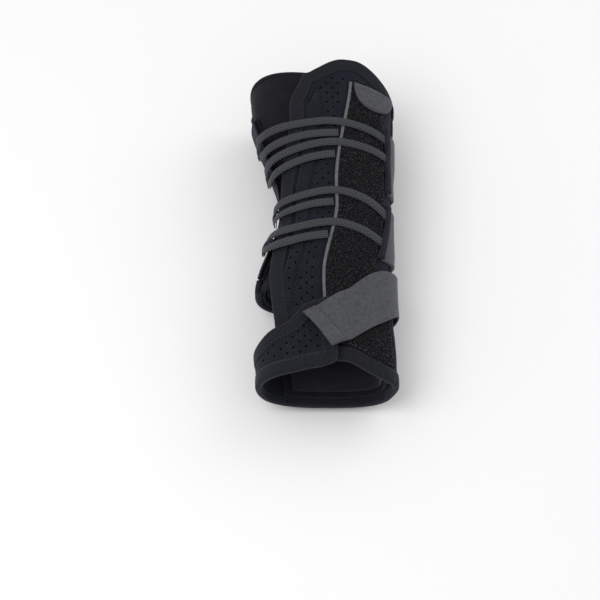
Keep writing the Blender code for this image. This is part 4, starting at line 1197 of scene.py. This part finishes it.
class SPLINT_OT_straps(bpy.types.Operator):
    """Hand strap with its sewn end tab, the two lace straps, and the D-shaped stay pocket tab"""

    bl_idname = "splint.straps"
    bl_label = "Straps and tab"

    def execute(self, context):
        sizes = context.scene.splint_sizes
        thick = sizes.webbing_thickness
        route = smooth_route(STRAP_ROUTE, 240)
        last = int(np.argmax(route[:, 0] > 103.0))
        section = flat_section(sizes.strap_width, thick, 24, 0.4)
        strap = sweep("hand_strap_webbing", material("webbing"), route[:last], section, whole_strap_bed)
        tuple(raised(3.0, -46 * MM, OVER_LOOP))
        tuple(raised(13.0, -47 * MM, OVER_LOOP))
        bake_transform(strap)
        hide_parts("hand_strap", "hand_strap_anchor")
        first = int(np.argmax(route[:, 0] > 83.5))
        tip = route[first:]
        fold = sweep("hand_strap_end_tab", material("webbing"), tip, flat_section(sizes.strap_width - 0.6 * MM, 1.0 * MM, 24, 0.4), lambda a: strap_bed(a) + thick + 0.12 * MM + 0.6 * MM * ease((a - 100.5) / 3))
        settle(fold, "hand_strap_body", "grey_webbing", "hand_strap_tab")
        offsets = np.linspace(-sizes.strap_width / 2 + 1.5 * MM, sizes.strap_width / 2 - 1.5 * MM, 30)
        rows = []
        for at, step in ((83.5, 1), (102.0, -1)):
            index = int(np.argmax(route[:, 0] > at)) + step * 2
            angle, y = side_steps(route[index - 2 : index + 3], offsets[None, :])
            rows.append(np.stack([angle[2], y[2]], -1))
        seams = sew("hand_strap_stitches", rows, [lambda a: strap_bed(a) + thick + 1.02 * MM] * 2, material("pale_thread"), spacing=2.2 * MM)
        settle(seams, "hand_strap_body", "grey_webbing")
        self.lace_straps(thick)
        self.pocket_tab()
        return {"FINISHED"}

    def lace_straps(self, thick):
        """Lace straps, widest at the laces, wrapped round to the palm."""
        low_angle, high_angle = -42.0, 22.5

        def height(angle):
            return OVER_LOOP - (OVER_LOOP - TRIM_BOTTOM) * ease((np.asarray(angle, float) + 14) / 16)

        for name, wide, narrow in (("upper_lace_strap", (18, 60), (26, 50)), ("lower_lace_strap", (-27, 9), (-20, 4))):
            def edge(k, wide=wide, narrow=narrow):
                return lambda a: (narrow[k] + (wide[k] - narrow[k]) * ease((a - low_angle) / (high_angle - low_angle))) * MM

            body = name + "_body"
            strap = panel(
                name + "_webbing", material("webbing"), (low_angle, high_angle), (edge(0), edge(1)),
                lambda a: height(a) - 0.4 * MM, thick + 0.4 * MM, (50, 40), rim=0.9 * MM,
            )
            self.sewn_edge(strap, body, sum(wide) / 2 * MM)
            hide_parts(name)
            # Dark binding strip over the laces' ends at the strap's edge: it covers the cut lace ends, and its dark
            # colour is painted shade for the shadow gap under the strap's edge.
            lace_end_cover_and_painted_gap_shade = panel(
                name + "_lace_end", material("binding"), (high_angle - 0.4, lambda y: 27.4 + 0.6 * np.sin(y / (2.6 * MM))),
                (edge(0), edge(1)), OVER_LOOP - 0.7 * MM, 2.3 * MM, (14, 60), rim=0.9 * MM,
            )
            settle(lace_end_cover_and_painted_gap_shade, ROOT, "grey_webbing")
            lines = [
                np.stack([np.full(40, high_angle - 3.0), np.linspace((wide[0] + 2) * MM, (wide[1] - 2) * MM, 40)], -1),
                np.stack([np.full(30, low_angle + 6.0), np.linspace((narrow[0] + 2) * MM, (narrow[1] - 2) * MM, 30)], -1),
            ]
            seams = sew(name + "_stitches", lines, [lambda a: height(a) + thick] * 2, material("pale_thread"), spacing=2.4 * MM)
            self.sewn_edge(seams, body, sum(wide) / 2 * MM)

    def sewn_edge(self, piece, body, y):
        """Piece of a lace strap that stays down where the laces are sewn in, with its placement baked into its mesh."""
        tuple(raised(22.0, y, OVER_LOOP))
        tuple(raised(12.5, y, OVER_LOOP))
        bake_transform(piece)

    def pocket_tab(self):
        """D-shaped tab: flat edge sewn down, round edge free."""
        first, last = 20.0, 55.0

        def flat_edge(angle):
            return (82 + 4 * (np.asarray(angle, float) - first) / (last - first)) * MM

        def round_edge(angle):
            across = np.clip((2 * np.asarray(angle, float) - first - last) / (last - first), -1, 1)
            return flat_edge(angle) - 3 * MM - 12 * MM * np.sqrt(1 - across**2)

        tab = panel("stay_pocket_tab_webbing", material("webbing"), (first, last), (round_edge, flat_edge), OVER_LOOP - 0.6 * MM, 1.6 * MM, (60, 24), rim=0.7 * MM)
        settle(tab, "stay_tab_body", "grey_webbing", "stay_pocket_tab")
        routes = [circle_round(lambda a: flat_edge(a) - 1.6 * MM, first + 2, last - 2, 40)]
        seams = sew("stay_pocket_tab_stitches", routes, [OVER_LOOP + 1.0 * MM], material("pale_thread"), spacing=2.2 * MM)
        settle(seams, "stay_tab_body", "grey_webbing")


class SPLINT_OT_thumb_flap(bpy.types.Operator):
    """Padded thumb flap, perforated, with its wide binding"""

    bl_idname = "splint.thumb_flap"
    bl_label = "Thumb flap"

    def execute(self, context):
        pitch = context.scene.splint_sizes.hole_pitch

        def crown(angle, y):
            middle = (flap_near(angle) + flap_far(angle)) / 2
            half = (flap_near(angle) - flap_far(angle)) / 2
            return 0.5 * MM * np.clip(1 - ((y - middle) / half) ** 2, 0, 1)

        pad = panel("thumb_flap_pad", material("laminate"), (FLAP_TIP, FLAP_ROOT), (flap_far, flap_near), flap_bed, PANEL_THICKNESS, (130, 50), relief=crown)

        def inside(angle, y):
            return (angle > FLAP_TIP + 8) & (angle < FLAP_ROOT - 6) & (y > flap_far(angle) + 8.5 * MM) & (y < flap_near(angle) - 8.5 * MM)

        marks = hole_marks(inside, (-100 * MM, -60 * MM), (-14 * MM, 75 * MM), pitch, PANEL_THICKNESS)
        for vertex, angle_height in zip(marks.data.vertices, flap_mark_lifts(marks)):
            vertex.co = angle_height
        pad = perforate(pad, marks, material("laminate"))
        self.hinge(pad, "perforated_laminate", "thumb_flap")
        section = binding_section(BINDING_WIDTH, 3 * MM, 0.15 * MM, PANEL_THICKNESS + 0.2 * MM)
        near = circle_round(flap_near, FLAP_TIP, FLAP_ROOT, 130)
        tip = np.stack([np.full(30, FLAP_TIP), np.linspace(float(flap_far(FLAP_TIP)), float(flap_near(FLAP_TIP)), 30)], -1)
        far = circle_round(flap_far, FLAP_ROOT, FLAP_TIP, 130)
        rim = round_off(np.concatenate([far, tip[1:-1], near]), 30)
        trim = sweep("thumb_flap_edge_binding", material("binding"), rim, section, flap_bed)
        self.hinge(trim, "knit_binding", "thumb_flap_binding")
        line = inset_route(rim, 6 * MM)
        seams = sew("thumb_flap_stitches", [line[line[:, 0] < FLAP_ROOT - 5]], [lambda a: flap_bed(a) + PANEL_THICKNESS + 0.8 * MM], material("thread"), spacing=2.6 * MM)
        self.hinge(seams, "knit_binding")
        return {"FINISHED"}

    def hinge(self, piece, slot, *nodes):
        """Flap piece that stays sewn down at the palm, with its placement baked into its mesh and its solids hidden."""
        start = raised(FLAP_ROOT - 1, -90 * MM, PANEL_TOP)
        end = raised(FLAP_ROOT - 14, -90 * MM, PANEL_TOP)
        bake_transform(piece)
        if nodes:
            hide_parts(*nodes)


def flap_mark_lifts(marks):
    """Marks carried up on to the thumb flap, whose bed changes height round the limb."""
    base = np.array([v.co for v in marks.data.vertices])
    facing = np.array([d.vector for d in marks.data.attributes["facing"].data])
    middle = stations(SHIFTS, base[:, 1] - SHIFT_Y) + SHIFT_X
    half_depth = (WRIST_DEPTH + DORSAL_SLOPE * base[:, 1]) / 2
    angle = np.degrees(np.arctan2(base[:, 2] - WRAP_FLOOR - half_depth, base[:, 0] - middle)) % 360
    return base + facing * flap_bed(angle)[:, None]


def outline_between(low, high, corner, y):
    """Rounded outline in x and z between two corners of a box, at one y."""
    middle = ((low[0] + high[0]) / 2, (low[1] + high[1]) / 2)
    half = ((high[0] - low[0]) / 2, (high[1] - low[1]) / 2)
    ring = []
    for x, z in superellipse(1.0, 1.0, corner, 48):
        ring.append((middle[0] + half[0] * x, y, middle[1] + half[1] * z))
    return ring


class SPLINT_OT_stays(bpy.types.Operator):
    """Palmar stay's sewn pocket, and finishes for the stays, whose solids stay as they are"""

    bl_idname = "splint.stays"
    bl_label = "Stays and pocket"

    def execute(self, context):
        self.pocket()
        finishes = {"palmar_stay": "aluminium", "dorsal_stay": "plastic", "ulnar_stay": "plastic"}
        for node, kind in finishes.items():
            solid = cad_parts[node]
            solid.data.materials.clear()
            solid.data.materials.append(material(kind))
        return {"FINISHED"}

    def pocket(self):
        """Sleeve of folded knit: pillowed outside, a flat slot for the stay, closed at the hand end."""
        low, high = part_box("palmar_stay_pocket")
        stay_low, stay_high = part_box("palmar_stay")
        gap = 0.35 * MM
        rings = []
        for y in np.linspace(low.y, high.y, 50):
            near_end = 1.4 * MM * (1 - math.sqrt(1 - (1 - min((y - low.y) / (3 * MM), 1)) ** 2))
            ripple = 0.12 * MM * (1 + math.sin(y / (3.1 * MM)))
            sides = (low.x + near_end + ripple, low.z), (high.x - near_end - ripple, high.z - near_end)
            rings.append(outline_between(*sides, 7.0, y))
        inside = (stay_low.x - gap, stay_low.z - gap), (stay_high.x + gap, stay_high.z + gap)
        for y in (high.y - 0.2 * MM, (low.y + high.y) / 2, stay_low.y - gap):
            rings.append(outline_between(*inside, 12.0, y))
        points = [point for ring in rings for point in ring]
        last = (len(rings) - 1) * 48
        faces = grid_faces(len(rings), 48, closed=True)
        faces += [tuple(range(48)), tuple(last + k for k in range(47, -1, -1))]
        uv = [(x + z, y) for x, y, z in points]
        sleeve = outward(build_mesh("palmar_pocket_sleeve", points, faces, material("binding"), uv))
        settle(sleeve, ROOT, "knit_binding", "palmar_stay_pocket")


class SPLINT_OT_stage(bpy.types.Operator):
    """Floor, soft lights, world and camera"""

    bl_idname = "splint.stage"
    bl_label = "Stage"

    def execute(self, context):
        light = context.scene.splint_light
        floor_mesh = bpy.data.meshes.new("floor")
        reach = 3.0
        floor_mesh.from_pydata([(-reach, -reach, 0), (reach, -reach, 0), (reach, reach, 0), (-reach, reach, 0)], [], [(0, 1, 2, 3)])
        floor = bpy.data.objects.new("floor", floor_mesh)
        floor.location.z = -0.2 * MM
        bpy.context.scene.collection.objects.link(floor)
        floor_mesh.materials.append(self.floor_material(light.floor_colour))
        self.world(light.world_level)
        self.lamp("key", (-0.55, -0.35, 1.1), 0.9, light.key_power)
        self.lamp("fill", (0.8, 0.5, 0.9), 0.9, light.key_power * 0.45)
        self.camera()
        return {"FINISHED"}

    def floor_material(self, colour):
        """Plain paper sweep: white to the camera, with the splint's shadow left on it."""
        paper = bpy.data.materials.new("paper sweep")
        paper.use_nodes = True
        tree = paper.node_tree
        shader = tree.nodes["Principled BSDF"]
        shader.inputs["Base Color"].default_value = (*colour, 1.0)
        shader.inputs["Roughness"].default_value = 0.9
        shader.inputs["Specular IOR Level"].default_value = 0.1
        return paper

    def world(self, level):
        world = bpy.data.worlds.new("even light")
        bpy.context.scene.world = world
        world.use_nodes = True
        tree = world.node_tree
        path = add_node(tree, "ShaderNodeLightPath")
        strength = add_node(tree, "ShaderNodeMapRange", None, Value=path.outputs["Is Camera Ray"], To_Min=level, To_Max=1.0)
        tree.links.new(strength.outputs[0], tree.nodes["Background"].inputs["Strength"])
        tree.nodes["Background"].inputs["Color"].default_value = (1.0, 1.0, 1.0, 1.0)
        bpy.context.scene.view_settings.view_transform = "Standard"

    def lamp(self, name, place, size, power):
        data = bpy.data.lights.new(name, "AREA")
        data.size = size
        data.energy = power
        lamp = bpy.data.objects.new(name, data)
        lamp.location = place
        aim(lamp, (0, 0, 0.03))
        bpy.context.scene.collection.objects.link(lamp)

    def camera(self):
        """Camera from the hand end, 59 degrees above the floor."""
        data = bpy.data.cameras.new("camera")
        camera = bpy.data.objects.new("camera", data)
        target = np.array((-13.4 * MM, -44.8 * MM, 30 * MM))
        tilt = math.radians(59)
        distance = 1.3
        camera.location = target + distance * np.array((0, -math.cos(tilt), math.sin(tilt)))
        data.angle = 2 * math.atan(172.5 * MM / distance)
        aim(camera, target)
        bpy.context.scene.collection.objects.link(camera)
        bpy.context.scene.camera = camera


def aim(thing, target):
    thing.rotation_euler = (Vector(target) - thing.location).to_track_quat("-Z", "Y").to_euler()


class SPLINT_PT_panel(bpy.types.Panel):
    """Lists the operators that build the splint"""

    bl_idname = "SPLINT_PT_panel"
    bl_label = "Wrist splint"
    bl_space_type = "VIEW_3D"
    bl_region_type = "UI"
    bl_category = "Splint"

    def draw(self, context):
        for operator in OPERATORS:
            self.layout.operator(operator.bl_idname)


OPERATORS = (
    SPLINT_OT_stage,
    SPLINT_OT_wrap,
    SPLINT_OT_dorsal_panel,
    SPLINT_OT_loop_panel,
    SPLINT_OT_palmar_side,
    SPLINT_OT_laces,
    SPLINT_OT_straps,
    SPLINT_OT_thumb_flap,
    SPLINT_OT_stays,
)
CLASSES = (SplintSizes, SplintLight, *OPERATORS, SPLINT_PT_panel)


def register():
    for item in CLASSES:
        bpy.utils.register_class(item)
    bpy.types.Scene.splint_sizes = bpy.props.PointerProperty(type=SplintSizes)
    bpy.types.Scene.splint_light = bpy.props.PointerProperty(type=SplintLight)


def unregister():
    del bpy.types.Scene.splint_light
    del bpy.types.Scene.splint_sizes
    for item in reversed(CLASSES):
        bpy.utils.unregister_class(item)


def main():
    register()
    for operator in OPERATORS:
        group, name = operator.bl_idname.split(".")
        getattr(getattr(bpy.ops, group), name)()


if __name__ == "__main__":
    main()
